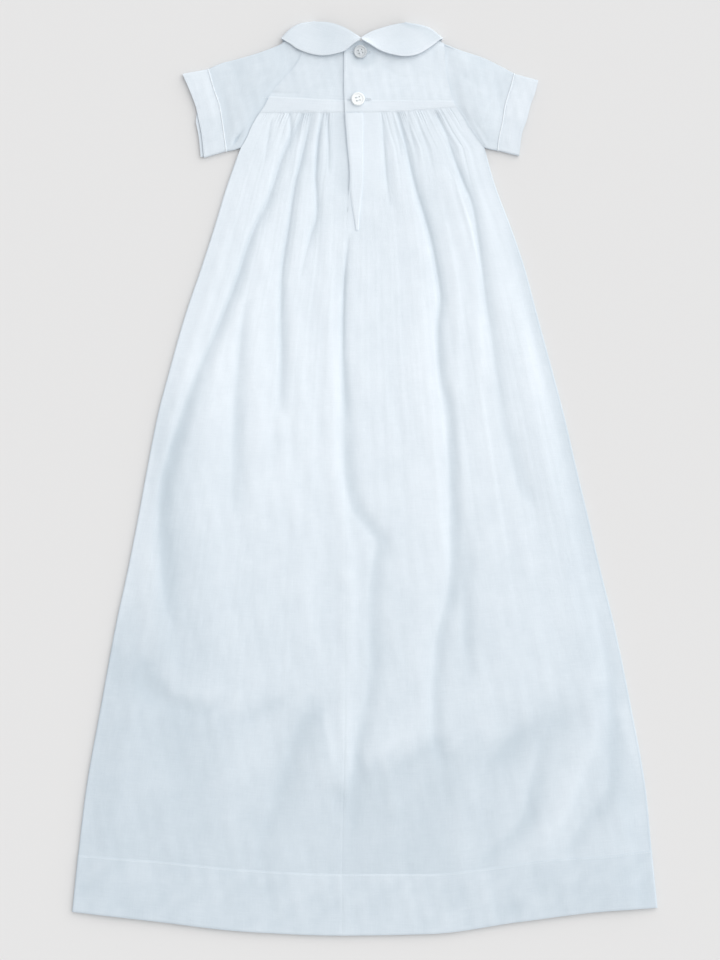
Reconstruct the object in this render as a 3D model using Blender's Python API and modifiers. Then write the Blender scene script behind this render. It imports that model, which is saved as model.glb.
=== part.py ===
"""A long baby gown laid flat on its front, back side up, as solid cloth pieces.

Lengths are in millimetres until a point is placed, +Y runs to the collar and +Z up.
Every cloth piece is a grid moved on to its place and given a wall with Solidify.
"""

import math

import bmesh
import bpy
from mathutils import Vector

MM = 0.001

# Walls and gaps
WALL = 1.0            # single cloth: yoke, skirt, sleeves
COLLAR_WALL = 1.2     # two layers sewn together
BAND_WALL = 1.4       # turned hems, cuffs and the waist strip
SEAM = 0.6            # free way between two pieces that are sewn edge to edge
ROLL = 1.2            # radius of the folded side of a flat tube, at mid wall
SIDE_TURN = 0.95      # radius of the quarter turn each half of a side seam makes
COLLAR_LIFT = 1.5     # how far the front collar below holds up the body

# Heights of the parts of the back above the front, at mid wall
PUFF = 1.8            # air under the back of the skirt
UNDERLAP = -0.9       # left half at the placket
OVERLAP = 0.5         # right half at the placket, lying over the left one
LOW_LIMIT = 1.4       # least height of the back above the front

# Side seams below the underarm, one row per level: y, left x, right x
SIDES = (
    (281, -106, 102), (262, -113, 107),
    (246, -118.5, 112), (213, -128.5, 124.5), (179, -139.5, 136), (136, -154, 147.5),
    (90, -167, 160), (56, -176, 169), (11, -185, 179.5), (-35, -193.5, 190.5),
    (-78, -202, 200.5), (-124, -212, 212), (-192, -224.5, 226), (-265, -237.5, 239),
    (-317, -243.8, 244), (-367, -249, 249))
UNDERARM_Y = 281

# Armhole seams from the shoulder down: x, y
ARM_LEFT = ((-56, 379), (-54.5, 372), (-54, 362.5), (-58.5, 352), (-68, 341), (-79.5, 328),
            (-86, 316), (-92, 308), (-97, 299), (-101, 289.5), (-106, 281))
ARM_RIGHT = ((67, 370), (68, 361), (68.5, 352), (69.5, 342), (72, 332), (75.5, 320),
             (82.5, 309.5), (91, 296), (102, 281))

# Sleeves and cuffs: top fold and under edge run outward, the other two downward
TOP_LEFT = ((-56, 379), (-63.5, 375), (-69.5, 371.5), (-73, 369), (-90, 362.5), (-111, 356.5),
            (-122.5, 353.5), (-133.5, 348.5))
UNDER_LEFT = ((-106, 281), (-112, 279), (-118, 278))
CUFF_LEFT = ((-133.5, 348.5), (-128.5, 331), (-124, 318), (-121.5, 304), (-119.5, 289.5), (-118, 278))
EDGE_LEFT = ((-155.5, 344.5), (-149.5, 331), (-144, 316.5), (-141, 303), (-138.5, 289.5), (-137, 272.5))
TOP_RIGHT = ((67, 370), (81, 364.5), (102, 357.5), (120, 348.5), (127, 344.5))
UNDER_RIGHT = ((102, 281), (107, 279.6), (113, 278.5))
CUFF_RIGHT = ((127, 344.5), (124, 333), (119.5, 318), (117, 303), (114, 288.5), (113, 278.5))
EDGE_RIGHT = ((147.5, 339), (144.5, 327.5), (141, 318), (137.5, 304.5), (133.5, 293), (131, 274))

# Cross seams of the body: x, y
STRIP_TOP = ((-81, 325), (-17, 322), (75, 321.5))
STRIP_LOW = ((-90, 310.5), (-17, 310.5), (30, 311.5), (77, 315.5))
HEM_LINE = ((-243, -320), (-166, -326), (-107, -332), (-19, -336), (55, -336), (97, -332),
            (165, -323), (199, -321), (243, -316))
HEM_EDGE = ((-249, -368.5), (-183, -376), (-98, -385.5), (-21, -388.5), (55, -387.2), (131, -377),
            (199, -368.5), (249, -365))

# Neck and shoulders: x, y
SHOULDER_BACK = ((-56, 379), (-41, 385.5), (-30, 385.8), (-17.5, 381), (-3.4, 372),
                 (5, 377.5), (21, 382.5), (34, 384.2), (50, 378.5), (67, 370))
SHOULDER_FRONT = ((-56, 379), (-41, 385), (-36, 372), (-24, 361), (-3.4, 356.5), (18, 361),
                  (29, 372), (34, 383.5), (50, 378.5), (67, 370))

# Closing edge of the right half and the centre back seam below it: y, x
PLACKET = ((386, -17.5), (335, -17.8), (311, -17), (288, -15.3), (257, -12.8), (237, -13.9),
           (198, -17), (90, -17.5), (-30, -17), (-190, -17), (-336, -19.5), (-389, -19.5))
SLIT_END = 257
UNDERLAP_EDGE = 5.0
STRIP_LEFT_EDGE = ((311, -16.6), (288, -14.9), (257, -12.4), (246, -12.6), (236, -11.4), (211, -7.6))
STRIP_RIGHT_EDGE = ((311, -1.8), (288, -1.8), (257, -1.8), (246, -2.2), (236, -3.4), (211, -5.6))

# Gathers at the waist seam: depth from mid height, run down the skirt
GATHERS_LEFT = ((0.2, 26), (0.3, 30), (0.25, 34), (0.75, 40), (0.3, 30), (0.7, 52), (0.75, 60), (0.25, 34),
                (0.5, 44), (0.75, 56), (0.3, 30), (0.2, 26))
GATHERS_RIGHT = ((0.15, 26), (0.2, 30), (0.3, 34), (0.7, 56), (0.25, 30), (0.8, 64), (0.35, 36), (0.5, 40),
                 (0.25, 30), (0.45, 44), (0.2, 28), (0.3, 30), (0.3, 34), (0.75, 56), (0.3, 32), (0.2, 26))
GATHERS_LEFT_SPAN = (0.05, 0.93)      # share of the panel width they cover
GATHERS_RIGHT_SPAN = (0.17, 0.96)

# Folds of the back of the skirt: name, half width, points of x, y, height
FOLDS = (
    ("left border ridge", 7, ((-100, 262, 0.3), (-116, 215, 1.2), (-131, 160, 1.8), (-150, 100, 2.0),
                              (-166, 50, 2.2), (-179, 0, 2.0), (-184, -45, 1.8), (-182, -90, 2.2),
                              (-176, -132, 2.0), (-167, -162, 1.2))),
    ("left long valley", 6, ((-65, 307, -0.4), (-68, 275, -1.4), (-82, 238, -2.0), (-97, 206, -2.2),
                             (-112, 160, -2.4), (-139, 95, -2.4), (-154, 53, -2.4), (-170, 1, -2.4),
                             (-172, -30, -2.0), (-170, -72, -1.6), (-167, -114, -0.6))),
    ("left panel ridge", 14, ((-100, 190, 0.8), (-116, 120, 1.8), (-130, 50, 2.0), (-138, 0, 1.8),
                              (-138, -60, 1.4), (-128, -130, 1.2))),
    ("left short valley", 6, ((-102, 147, -0.8), (-108, 89, -1.8), (-110, 8, -1.8), (-110, -25, -0.6))),
    ("second left ridge", 11, ((-84, 200, 1.0), (-90, 140, 1.8), (-92, 80, 1.8), (-90, 20, 1.4),
                               (-84, -40, 1.0))),
    ("second left valley", 5, ((-48, 294, -0.4), (-55, 268, -1.4), (-60, 247, -1.8), (-65, 213, -2.0),
                               (-71, 169, -2.0), (-71, 89, -1.8), (-71, 60, -0.6))),
    ("third left ridge", 9, ((-50, 255, 1.0), (-54, 215, 1.6), (-60, 165, 1.6), (-56, 110, 1.4),
                             (-50, 40, 1.2), (-48, -40, 1.4), (-50, -120, 1.4), (-46, -170, 0.8))),
    ("third left valley", 4, ((-37, 305, -0.3), (-41, 284, -1.0), (-42, 257, -1.6), (-41, 224, -1.4),
                              (-47, 204, -1.2), (-55, 172, -0.4))),
    ("fourth left valley", 3.5, ((-31, 305, -0.3), (-31, 284, -1.0), (-31, 263, -0.5))),
    ("centre ridge", 6, ((-29, 230, 0.6), (-31, 180, 1.4), (-30, 130, 1.8), (-28, 85, 2.4), (-27, 17, 2.4),
                         (-21, -12, 2.2), (-17, -52, 2.0), (-14, -110, 1.4), (-17, -194, 1.8),
                         (-17, -256, 1.6), (-18, -300, 0.6))),
    ("centre valley", 5.5, ((-14, 204, -0.6), (-17, 163, -1.6), (-17, 115, -1.8), (-17, 68, -1.8),
                            (-13, 18, -2.0), (-9, -22, -2.0), (0, -34, -1.8), (12, -52, -1.6), (6, -93, -1.6),
                            (6, -171, -1.8), (-4, -218, -2.0), (-8, -246, -2.0), (-10, -270, -1.4),
                            (-13, -322, -0.4))),
    ("first right valley", 4, ((14, 308, -0.3), (16, 284, -1.2), (17, 263, -1.2), (20, 233, -0.3))),
    ("right panel ridge", 10, ((24, 280, 0.6), (34, 245, 1.4), (44, 205, 2.0), (50, 160, 2.2), (50, 110, 2.2),
                               (55, 60, 2.4), (59, 0, 2.4), (60, -60, 2.2), (54, -120, 1.8), (46, -180, 1.4),
                               (48, -240, 0.8))),
    ("right long valley", 5, ((27, 305, -0.4), (34, 282, -1.3), (42, 250, -2.0), (52, 217, -2.2),
                              (57, 198, -2.4), (61, 176, -2.4), (64, 152, -2.4), (62, 129, -2.4),
                              (64, 89, -2.4), (71, 56, -2.4), (74, -1, -2.4), (75, -68, -2.2),
                              (72, -103, -2.0), (62, -142, -1.8), (60, -215, -1.8), (68, -243, -0.6))),
    ("thin right ridge", 5, ((68, 215, 0.6), (77, 168, 1.2), (79, 118, 1.4), (79, 60, 1.0), (84, 0, 0.8))),
    ("low right valley", 5, ((86, -50, -0.4), (86, -69, -1.2), (86, -150, -1.4), (88, -174, -0.4))),
    ("second right ridge", 6, ((70, 257, 0.8), (80, 220, 1.4), (92, 176, 1.8), (97, 114, 2.2),
                               (99, 48, 2.0), (108, 0, 1.2), (112, -60, 0.8))),
    ("second right valley", 5, ((61, 307, -0.3), (70, 289, -1.0), (77, 268, -1.6), (84, 250, -1.8),
                                (93, 224, -2.0), (103, 149, -2.2), (108, 119, -2.2), (113, 83, -2.2),
                                (118, 48, -2.0), (124, 24, -1.8), (132, -6, -1.2), (138, -18, -0.4))),
    ("right border ridge", 8, ((118, 200, 0.6), (129, 155, 1.4), (137, 129, 2.0), (146, 73, 2.4),
                               (155, 28, 2.4), (162, -12, 2.0), (168, -60, 1.2), (176, -120, 1.0))),
    ("right swell", 16, ((125, -60, 0.8), (130, -120, 1.4), (140, -170, 1.2))),
    ("right corner valley", 6, ((200, -111, -0.6), (209, -174, -1.4), (210, -216, -1.6), (210, -257, -1.6),
                                (206, -270, -1.4), (187, -295, -1.4), (174, -316, -0.8))),
    ("right corner ridge", 7, ((186, -170, 0.6), (194, -211, 1.6), (178, -257, 2.0), (164, -290, 1.8),
                               (150, -309, 1.0))),
    ("right slant valley", 6, ((173, -198, -0.6), (141, -215, -1.6), (116, -234, -1.8), (102, -251, -0.8))),
    ("right hem valley", 6, ((152, -224, -0.8), (137, -290, -1.8), (125, -303, -1.6), (108, -317, -1.0),
                             (98, -334, -0.5))),
    ("left bow valley", 6, ((-188, -147, -0.6), (-188, -174, -1.4), (-169, -188, -1.8), (-146, -198, -1.6),
                            (-123, -194, -0.6))),
    ("left corner ridge", 12, ((-205, -190, 0.8), (-196, -230, 1.6), (-180, -270, 1.6), (-165, -310, 0.8))),
    ("left cross valley", 5, ((-100, -205, -0.4), (-93, -201, -1.2), (-63, -184, -0.6))),
    ("left low ridge", 12, ((-130, -215, 0.8), (-118, -250, 1.4), (-115, -300, 1.0))),
    ("left slant valley", 6, ((-32, -192, -0.6), (-51, -205, -1.4), (-59, -228, -1.8), (-71, -263, -1.8),
                              (-80, -290, -1.6), (-90, -328, -1.0), (-96, -350, -0.4))),
    ("centre low ridge", 8, ((-40, -225, 0.8), (-42, -255, 1.8), (-40, -285, 1.4), (-44, -330, 0.6))),
    ("right low ridge", 10, ((20, -230, 0.8), (24, -270, 1.4), (22, -320, 1.0))),
    ("far right low ridge", 9, ((85, -230, 0.8), (86, -280, 1.6), (80, -330, 1.0))),
    ("hem dent left", 8, ((-226, -340, -0.6), (-232, -352, -0.6))),
    ("hem dent middle", 7, ((-124, -352, -0.6), (-115, -372, -0.9))),
    ("hem wave right", 7, ((137, -338, -0.6), (100, -360, -1.1), (70, -379, -0.9))),
)

# Collar: neck edge and outer edge of the back and front of each half, and its fold: x, y
NECK_BACK_LEFT = ((-3.7, 374.4), (-17, 382.9), (-30, 387.2), (-42.5, 388.5))
OUTER_BACK_LEFT = ((-4.2, 372.6), (-9.4, 369.3), (-17, 363.4), (-24.6, 360.8), (-35.7, 359.1),
                   (-46.7, 360.8), (-57, 364.7), (-63.7, 369.3), (-71.5, 374.4))
FOLD_LEFT = ((-42.5, 388.5), (-55, 387), (-64, 382), (-71.5, 374.4))
NECK_FRONT_LEFT = ((-42.5, 388.5), (-37, 373), (-25, 361.5), (-12, 357.5), (-4, 356.5))
OUTER_FRONT_LEFT = ((-71.5, 374.4), (-69, 359), (-59, 340), (-43, 330), (-24, 328.5), (-10, 337), (-4.2, 354.5))
NECK_BACK_RIGHT = ((-3.1, 374.4), (5.1, 379.5), (21.3, 384.8), (34, 387.6))
OUTER_BACK_RIGHT = ((-2.6, 372.6), (3.4, 369), (13.3, 363), (23, 359.8), (33.8, 358.3), (44.7, 360.2),
                    (54.4, 365.6), (63, 372.2), (66.3, 374.4))
FOLD_RIGHT = ((34, 387.6), (45, 386.2), (55.3, 382.9), (66.3, 374.4))
NECK_FRONT_RIGHT = ((34, 387.6), (29.5, 373), (18, 361.5), (5, 357.5), (-2.8, 356.5))
OUTER_FRONT_RIGHT = ((66.3, 374.4), (63, 359), (52, 340), (36, 330), (17, 328.5), (3.2, 337), (-2.6, 354.5))
COLLAR_BACK_Z = 6.3
COLLAR_CURL = 1.5
NECK_CENTRE = (-3, 385)
NECK_REACH = (80, 70)

# Buttons: name, centre x, y, turn in degrees
BUTTONS = (("button_neck", -4.0, 362.4, 20.0), ("button_waist", -6.0, 322.2, 16.0))
BUTTON_PROFILE = ((0.0, 0.0), (4.7, 0.0), (5.5, 0.45), (5.75, 1.2), (5.55, 2.1), (5.0, 2.6), (4.4, 2.5),
                  (3.8, 1.95), (0.0, 1.8))
BUTTON_STEPS = 20
BUTTON_HOLE = (0.55, 1.35)     # radius, and distance from each axis
BUTTON_GAP = 0.3


def mix(a, b, share):
    """The value a share of the way from a to b."""
    return a + (b - a) * share


def ease(low, high, value):
    """0 below low, 1 above high, smooth between."""
    t = min(max((value - low) / (high - low), 0.0), 1.0)
    return t * t * (3.0 - 2.0 * t)


def spread(count, start=0.0, stop=1.0):
    """Evenly spaced values with both ends."""
    return [mix(start, stop, i / count) for i in range(count + 1)]


def level_curve(rows):
    """A smooth function through rows of position and value, flat beyond both ends."""
    rows = sorted(rows)
    places = [float(row[0]) for row in rows]
    values = [float(row[1]) for row in rows]
    rates = [(b - a) / (q - p) for p, q, a, b in zip(places, places[1:], values, values[1:])]
    slopes = [rates[0]]
    for first, second in zip(rates, rates[1:]):
        slopes.append(0.0 if first * second <= 0 else 2.0 * first * second / (first + second))
    slopes.append(rates[-1])

    def read(place):
        if place <= places[0]:
            return values[0]
        if place >= places[-1]:
            return values[-1]
        i = max(k for k, start in enumerate(places) if start <= place)
        gap = places[i + 1] - places[i]
        t = (place - places[i]) / gap
        return (values[i] * (1 + 2 * t) * (1 - t) ** 2 + slopes[i] * gap * t * (1 - t) ** 2
                + values[i + 1] * t * t * (3 - 2 * t) + slopes[i + 1] * gap * t * t * (t - 1))
    return read


def trace(points):
    """A function from a share of the length to a point, along a rounded line through points."""
    knots = [Vector(point) for point in points]
    fine = []
    for i in range(len(knots) - 1):
        before, after = knots[max(i - 1, 0)], knots[min(i + 2, len(knots) - 1)]
        a, b = knots[i], knots[i + 1]
        for step in range(8):
            t = step / 8
            fine.append(0.5 * (2 * a + (b - before) * t + (2 * before - 5 * a + 4 * b - after) * t * t
                               + (3 * a - before - 3 * b + after) * t ** 3))
    fine.append(knots[-1])
    marks = [0.0]
    for a, b in zip(fine, fine[1:]):
        marks.append(marks[-1] + (b - a).length)

    def read(share):
        goal = min(max(share, 0.0), 1.0) * marks[-1]
        i = min(max(k for k, mark in enumerate(marks) if mark <= goal), len(fine) - 2)
        return fine[i].lerp(fine[i + 1], (goal - marks[i]) / (marks[i + 1] - marks[i]))
    return read


def patch(low, high, left, right):
    """A function of two shares that fills four joined lines."""
    def read(u, v):
        corners = low(0).lerp(low(1), u).lerp(high(0).lerp(high(1), u), v)
        return low(u).lerp(high(u), v) + left(v).lerp(right(v), u) - corners
    return read


left_seam = level_curve([(y, left) for y, left, right in SIDES])
right_seam = level_curve([(y, right) for y, left, right in SIDES])
arm_left = level_curve([(y, x) for x, y in ARM_LEFT])
arm_right = level_curve([(y, x) for x, y in ARM_RIGHT])
strip_top = level_curve(STRIP_TOP)
strip_low = level_curve(STRIP_LOW)
hem_line = level_curve(HEM_LINE)
hem_edge = level_curve(HEM_EDGE)
shoulder_back = level_curve(SHOULDER_BACK)
shoulder_front = level_curve(SHOULDER_FRONT)
placket = level_curve(PLACKET)


def left_side(y):
    """Left edge of the body: the armhole, then the side seam."""
    return arm_left(y) if y > UNDERARM_Y else left_seam(y)


def right_side(y):
    """Right edge of the body: the armhole, then the side seam."""
    return arm_right(y) if y > UNDERARM_Y else right_seam(y)


def fold_height(x, y):
    """Sum of the long folds at a place, faded out to the side seams and the hem."""
    total = 0.0
    place = Vector((x, y))
    for _, width, knots in FOLDS:
        nearest, height = 1e9, 0.0
        for (ax, ay, az), (bx, by, bz) in zip(knots, knots[1:]):
            start, run = Vector((ax, ay)), Vector((bx - ax, by - ay))
            t = min(max((place - start).dot(run) / run.length_squared, 0.0), 1.0)
            far = (place - start - run * t).length
            if far < nearest:
                nearest, height = far, mix(az, bz, t)
        if nearest < 3 * width:
            total += height * math.exp(-(nearest / width) ** 2)
    sides = ease(1, 15, x - left_side(y)) * ease(1, 15, right_side(y) - x)
    return total * sides * mix(0.25, 1.0, ease(-388, -330, y))


def lift(x, y):
    """Height of the body over the collar that lies under it."""
    reach = math.hypot((x - NECK_CENTRE[0]) / NECK_REACH[0], (y - NECK_CENTRE[1]) / NECK_REACH[1])
    return COLLAR_LIFT * (1.0 - ease(1.0, 1.16, reach))


def front_height(x, y):
    """Mid wall of the front of the body, which lies flat on the surface."""
    return WALL / 2 + lift(x, y)


def placket_zone(x, y):
    """1 where the halves lie over each other, 0 away from there."""
    return ease(-34, -20, x) * (1 - ease(8, 22, x)) * ease(234, 250, y)


def back_height(x, y, layer=0.0):
    """Mid wall of the back of the body. The layer is the step up or down at the placket."""
    air = PUFF * ease(1, 30, x - left_side(y)) * ease(1, 30, right_side(y) - x)
    air *= ease(0, 60, 311 - y) * mix(0.3, 1.0, ease(-388, -340, y))
    folds = fold_height(x, y) if y < 312 else 0.0
    zone = placket_zone(x, y)
    rise = 2 * ROLL + air + folds * (1 - zone)
    over = math.log(1 + math.exp(min((rise - LOW_LIMIT) * 4, 40))) / 4
    return front_height(x, y) + LOW_LIMIT + over + layer * zone


def gather_height(u, y, gathers, span):
    """Small waves along the waist seam, each with its own depth and run."""
    place = (u - span[0]) / (span[1] - span[0]) * len(gathers)
    if place <= 0 or place >= len(gathers):
        return 0.0
    depth, run = gathers[int(place)]
    return depth * math.sin(2 * math.pi * place) * math.exp(-((311 - y) / run) ** 2)


def material(name, colour, roughness):
    """A plain Principled material."""
    made = bpy.data.materials.new(name)
    made.use_nodes = True
    shader = made.node_tree.nodes["Principled BSDF"]
    shader.inputs["Base Color"].default_value = (*colour, 1.0)
    shader.inputs["Roughness"].default_value = roughness
    made.diffuse_color = (*colour, 1.0)
    return made


def cloth(name, us, vs, place, wall, closed=False):
    """One cloth piece: a grid moved to its place and given a wall, as an object."""
    net = bmesh.new()
    bmesh.ops.create_grid(net, x_segments=len(us) - 1, y_segments=len(vs) - 1, size=0.5)
    for vert in net.verts:
        i = round((vert.co.x + 0.5) * (len(us) - 1))
        j = round((vert.co.y + 0.5) * (len(vs) - 1))
        vert.co = Vector(place(us[i], vs[j])) * MM
    if closed:
        bmesh.ops.remove_doubles(net, verts=net.verts, dist=1e-6)
    mesh = bpy.data.meshes.new(name)
    net.to_mesh(mesh)
    net.free()
    mesh.materials.append(COTTON)
    made = bpy.data.objects.new(name, mesh)
    GOWN.objects.link(made)
    shell = made.modifiers.new("wall", "SOLIDIFY")
    shell.thickness = wall * MM
    shell.offset = 0.0
    shell.use_even_offset = True
    return made


def body_place(left, right, low, high, height, lefts=SEAM / 2, rights=SEAM / 2, gap=SEAM / 2, side=1):
    """Where a body panel's grid goes. Shares under 0 and over 1 are the rolled side edges."""
    def read(u, v):
        flat = min(max(u, 0.0), 1.0)
        x, y = 0.0, 0.0
        for _ in range(12):
            y = mix(low(x) + gap, high(x) - gap, v)
            x = mix(left(y) + lefts, right(y) - rights, flat)
        z = height(x, y, flat)
        turn = abs(u - flat)
        if turn:
            rolled = 1 - ease(UNDERARM_Y - 18, UNDERARM_Y - 2, y)
            angle = math.radians(90 * turn)
            x += math.copysign(SIDE_TURN * mix(turn, math.sin(angle), rolled), u - flat)
            z -= side * rolled * SIDE_TURN * (1 - math.cos(angle))
        return x, y, z
    return read


ROLL_COLUMNS = [0.38, 0.75, 1.0]
ROLL_INSET = SIDE_TURN + WALL / 2
BAND_INSET = SIDE_TURN + BAND_WALL / 2
SKIRT_LEVELS = (-336, -278, -215, -150, -85, -20, 40, 95, 140, 180, 212, 234, 250, 264, 282, 298, 311)
FRONT_LEVELS = (-336, -250, -160, -70, 20, 110, 180, 240, 280, 298, 311)


def gather_columns(count, span):
    """Four columns to each gather, and the flat ends of the panel."""
    return sorted({0.0, 1.0, *spread(4 * count, *span)})


def rows_at(levels):
    """Rows as shares of the way from the hem seam to the waist seam."""
    return [(y - levels[0]) / (levels[-1] - levels[0]) for y in levels]


def skirt_back():
    """Both halves of the back of the skirt."""
    def left_edge(y):
        hidden = ease(SLIT_END - 6, SLIT_END + 4, y)
        return placket(y) + hidden * 2.2

    def left_z(x, y, u):
        waves = gather_height(u, y, GATHERS_LEFT, GATHERS_LEFT_SPAN)
        return back_height(x, y, UNDERLAP) + waves * (1 - placket_zone(x, y))

    def right_z(x, y, u):
        waves = gather_height(u, y, GATHERS_RIGHT, GATHERS_RIGHT_SPAN)
        return back_height(x, y, OVERLAP) + waves * (1 - placket_zone(x, y))

    vs = rows_at(SKIRT_LEVELS)
    place = body_place(left_side, left_edge, hem_line, strip_low, left_z, lefts=ROLL_INSET)
    us = [-c for c in reversed(ROLL_COLUMNS)] + gather_columns(12, GATHERS_LEFT_SPAN)
    cloth("skirt_back_left", us, vs, place, WALL)
    place = body_place(placket, right_side, hem_line, strip_low, right_z, rights=ROLL_INSET)
    us = gather_columns(16, GATHERS_RIGHT_SPAN) + [1 + c for c in ROLL_COLUMNS]
    cloth("skirt_back_right", us, vs, place, WALL)


def strip_height(x, y, u):
    """The placket strip lies on the right half of the skirt."""
    return back_height(x, y, OVERLAP) + WALL + BUTTON_GAP


def underlap_height(x, y, u):
    """The strip under the opening lies level with the left half."""
    return back_height(x, y, UNDERLAP)


def plackets():
    """The two narrow strips that finish the opening of the skirt."""
    over = body_place(level_curve(STRIP_LEFT_EDGE), level_curve(STRIP_RIGHT_EDGE), lambda x: 211.0,
                      strip_low, strip_height, 0.0, 0.0)
    cloth("placket_overlap", spread(3), spread(9), over, WALL)
    under = body_place(lambda y: placket(y) + 2.4, lambda y: UNDERLAP_EDGE, lambda x: SLIT_END - 3.0,
                       strip_low, underlap_height, 0.0, 0.0)
    cloth("placket_underlap", spread(3), spread(5), under, WALL)


def front_skirt_height(x, y, u):
    """The front of the skirt lies flat."""
    return front_height(x, y)


def skirt_front():
    """The front of the skirt, in one width."""
    place = body_place(left_side, right_side, hem_line, strip_low, front_skirt_height,
                       lefts=ROLL_INSET, rights=ROLL_INSET, side=-1)
    us = [-c for c in reversed(ROLL_COLUMNS)] + spread(16) + [1 + c for c in ROLL_COLUMNS]
    cloth("skirt_front", us, rows_at(FRONT_LEVELS), place, WALL)


def hems():
    """The deep hem, in two halves at the back and one at the front."""
    extra = (BAND_WALL - WALL) / 2

    def back_z(x, y, u):
        return back_height(x, y) + extra

    def front_z(x, y, u):
        return front_height(x, y) + extra

    left_roll = [-c for c in reversed(ROLL_COLUMNS)]
    right_roll = [1 + c for c in ROLL_COLUMNS]
    vs = spread(4)
    place = body_place(left_side, placket, hem_edge, hem_line, back_z, lefts=BAND_INSET)
    cloth("hem_back_left", left_roll + spread(22), vs, place, BAND_WALL)
    place = body_place(placket, right_side, hem_edge, hem_line, back_z, rights=BAND_INSET)
    cloth("hem_back_right", spread(26) + right_roll, vs, place, BAND_WALL)
    place = body_place(left_side, right_side, hem_edge, hem_line, front_z, lefts=BAND_INSET,
                       rights=BAND_INSET, side=-1)
    cloth("hem_front", left_roll + spread(20) + right_roll, spread(2), place, BAND_WALL)


def yokes():
    """Yoke and waist strip, back and front."""
    squeeze = ROLL - WALL / 2 - 0.15
    extra = (BAND_WALL - WALL) / 2

    def shoulder(x, y):
        on = x < -41 or x > 34
        return squeeze * (1 - ease(0.6, 4.0, shoulder_back(x) - y)) if on else 0.0

    def left_z(x, y, u):
        return back_height(x, y, UNDERLAP) - shoulder(x, y)

    def right_z(x, y, u):
        return back_height(x, y, OVERLAP) - shoulder(x, y)

    def front_z(x, y, u):
        return front_height(x, y) + shoulder(x, y)

    def underlap(y):
        return UNDERLAP_EDGE

    place = body_place(arm_left, underlap, strip_top, shoulder_back, left_z)
    cloth("yoke_back_left", spread(13), spread(7), place, WALL)
    place = body_place(placket, arm_right, strip_top, shoulder_back, right_z)
    cloth("yoke_back_right", spread(15), spread(7), place, WALL)
    place = body_place(arm_left, arm_right, strip_top, shoulder_front, front_z)
    cloth("yoke_front", spread(20), spread(8), place, WALL)

    def strip_left_z(x, y, u):
        return back_height(x, y, UNDERLAP) + extra * (1 - placket_zone(x, y))

    def strip_right_z(x, y, u):
        return back_height(x, y, OVERLAP) + extra

    def strip_front_z(x, y, u):
        return front_height(x, y) + extra

    place = body_place(arm_left, underlap, strip_low, strip_top, strip_left_z)
    cloth("waist_strip_back_left", spread(12), spread(2), place, WALL)
    place = body_place(placket, arm_right, strip_low, strip_top, strip_right_z)
    cloth("waist_strip_back_right", spread(14), spread(2), place, BAND_WALL)
    place = body_place(arm_left, arm_right, strip_low, strip_top, strip_front_z)
    cloth("waist_strip_front", spread(14), spread(2), place, BAND_WALL)


def ring(flats, turns):
    """Stations round a flat tube: the upper layer, the under fold, the lower layer, the top fold."""
    stations = [("back", t) for t in spread(flats)]
    stations += [("under", mix(90, -90, k / turns)) for k in range(1, turns)]
    stations += [("front", 1 - t) for t in spread(flats)]
    stations += [("top", mix(-90, 90, k / turns)) for k in range(1, turns)]
    return stations + [stations[0]]


def tube_place(inner, outer, top, under, wall, puff, start_gap, end_gap, peek=0.0):
    """Where a sleeve or cuff grid goes: along from the inner line to the outer one."""
    field = patch(trace(inner), trace(outer), trace(top), trace(under))
    inset = ROLL + wall / 2

    def read(station, s):
        kind, t = station
        reach = (field(0.5, 1) - field(0.5, 0)).length
        along = mix(start_gap / reach, 1 - end_gap / reach, s)
        height = (field(1, along) - field(0, along)).length
        trim = inset / height
        share = {"back": t, "front": t, "under": 1.0, "top": 0.0}[kind]
        spot = field(mix(trim, 1 - trim, share), along)
        low = wall / 2 + lift(*spot)
        bulge = puff * math.sin(math.pi * share) * math.sin(math.pi * s) ** 2
        if kind == "front":
            outward = field(share, 1) - field(share, 0)
            spot = spot + outward.normalized() * peek * share * s
            return spot.x, spot.y, low
        if kind == "back":
            return spot.x, spot.y, low + 2 * ROLL + bulge
        beyond = field(0.02, along) if kind == "top" else field(0.98, along)
        away = (field(share, along) - beyond).normalized()
        angle = math.radians(t)
        spot = spot + away * ROLL * math.cos(angle)
        return spot.x, spot.y, low + ROLL + ROLL * math.sin(angle)
    return read


def sleeves():
    """Two sleeves and their cuffs, each a flat tube."""
    stations = ring(9, 5)
    inner = [(arm_left(y), y) for y in spread(20, 379, 281)]
    place = tube_place(inner, CUFF_LEFT, TOP_LEFT, UNDER_LEFT, WALL, 1.4, SEAM, SEAM / 2)
    cloth("sleeve_left", stations, spread(7), place, WALL, closed=True)
    inner = [(arm_right(y), y) for y in spread(20, 370, 281)]
    place = tube_place(inner, CUFF_RIGHT, TOP_RIGHT, UNDER_RIGHT, WALL, 1.4, SEAM, SEAM / 2)
    cloth("sleeve_right", stations, spread(7), place, WALL, closed=True)
    ends = (CUFF_LEFT[0], EDGE_LEFT[0]), (CUFF_LEFT[-1], EDGE_LEFT[-1])
    place = tube_place(CUFF_LEFT, EDGE_LEFT, *ends, BAND_WALL, 0.3, SEAM / 2, 0.0, peek=1.6)
    cloth("cuff_left", stations, spread(3), place, BAND_WALL, closed=True)
    ends = (CUFF_RIGHT[0], EDGE_RIGHT[0]), (CUFF_RIGHT[-1], EDGE_RIGHT[-1])
    place = tube_place(CUFF_RIGHT, EDGE_RIGHT, *ends, BAND_WALL, 0.3, SEAM / 2, 0.0)
    cloth("cuff_right", stations, spread(3), place, BAND_WALL, closed=True)


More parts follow.
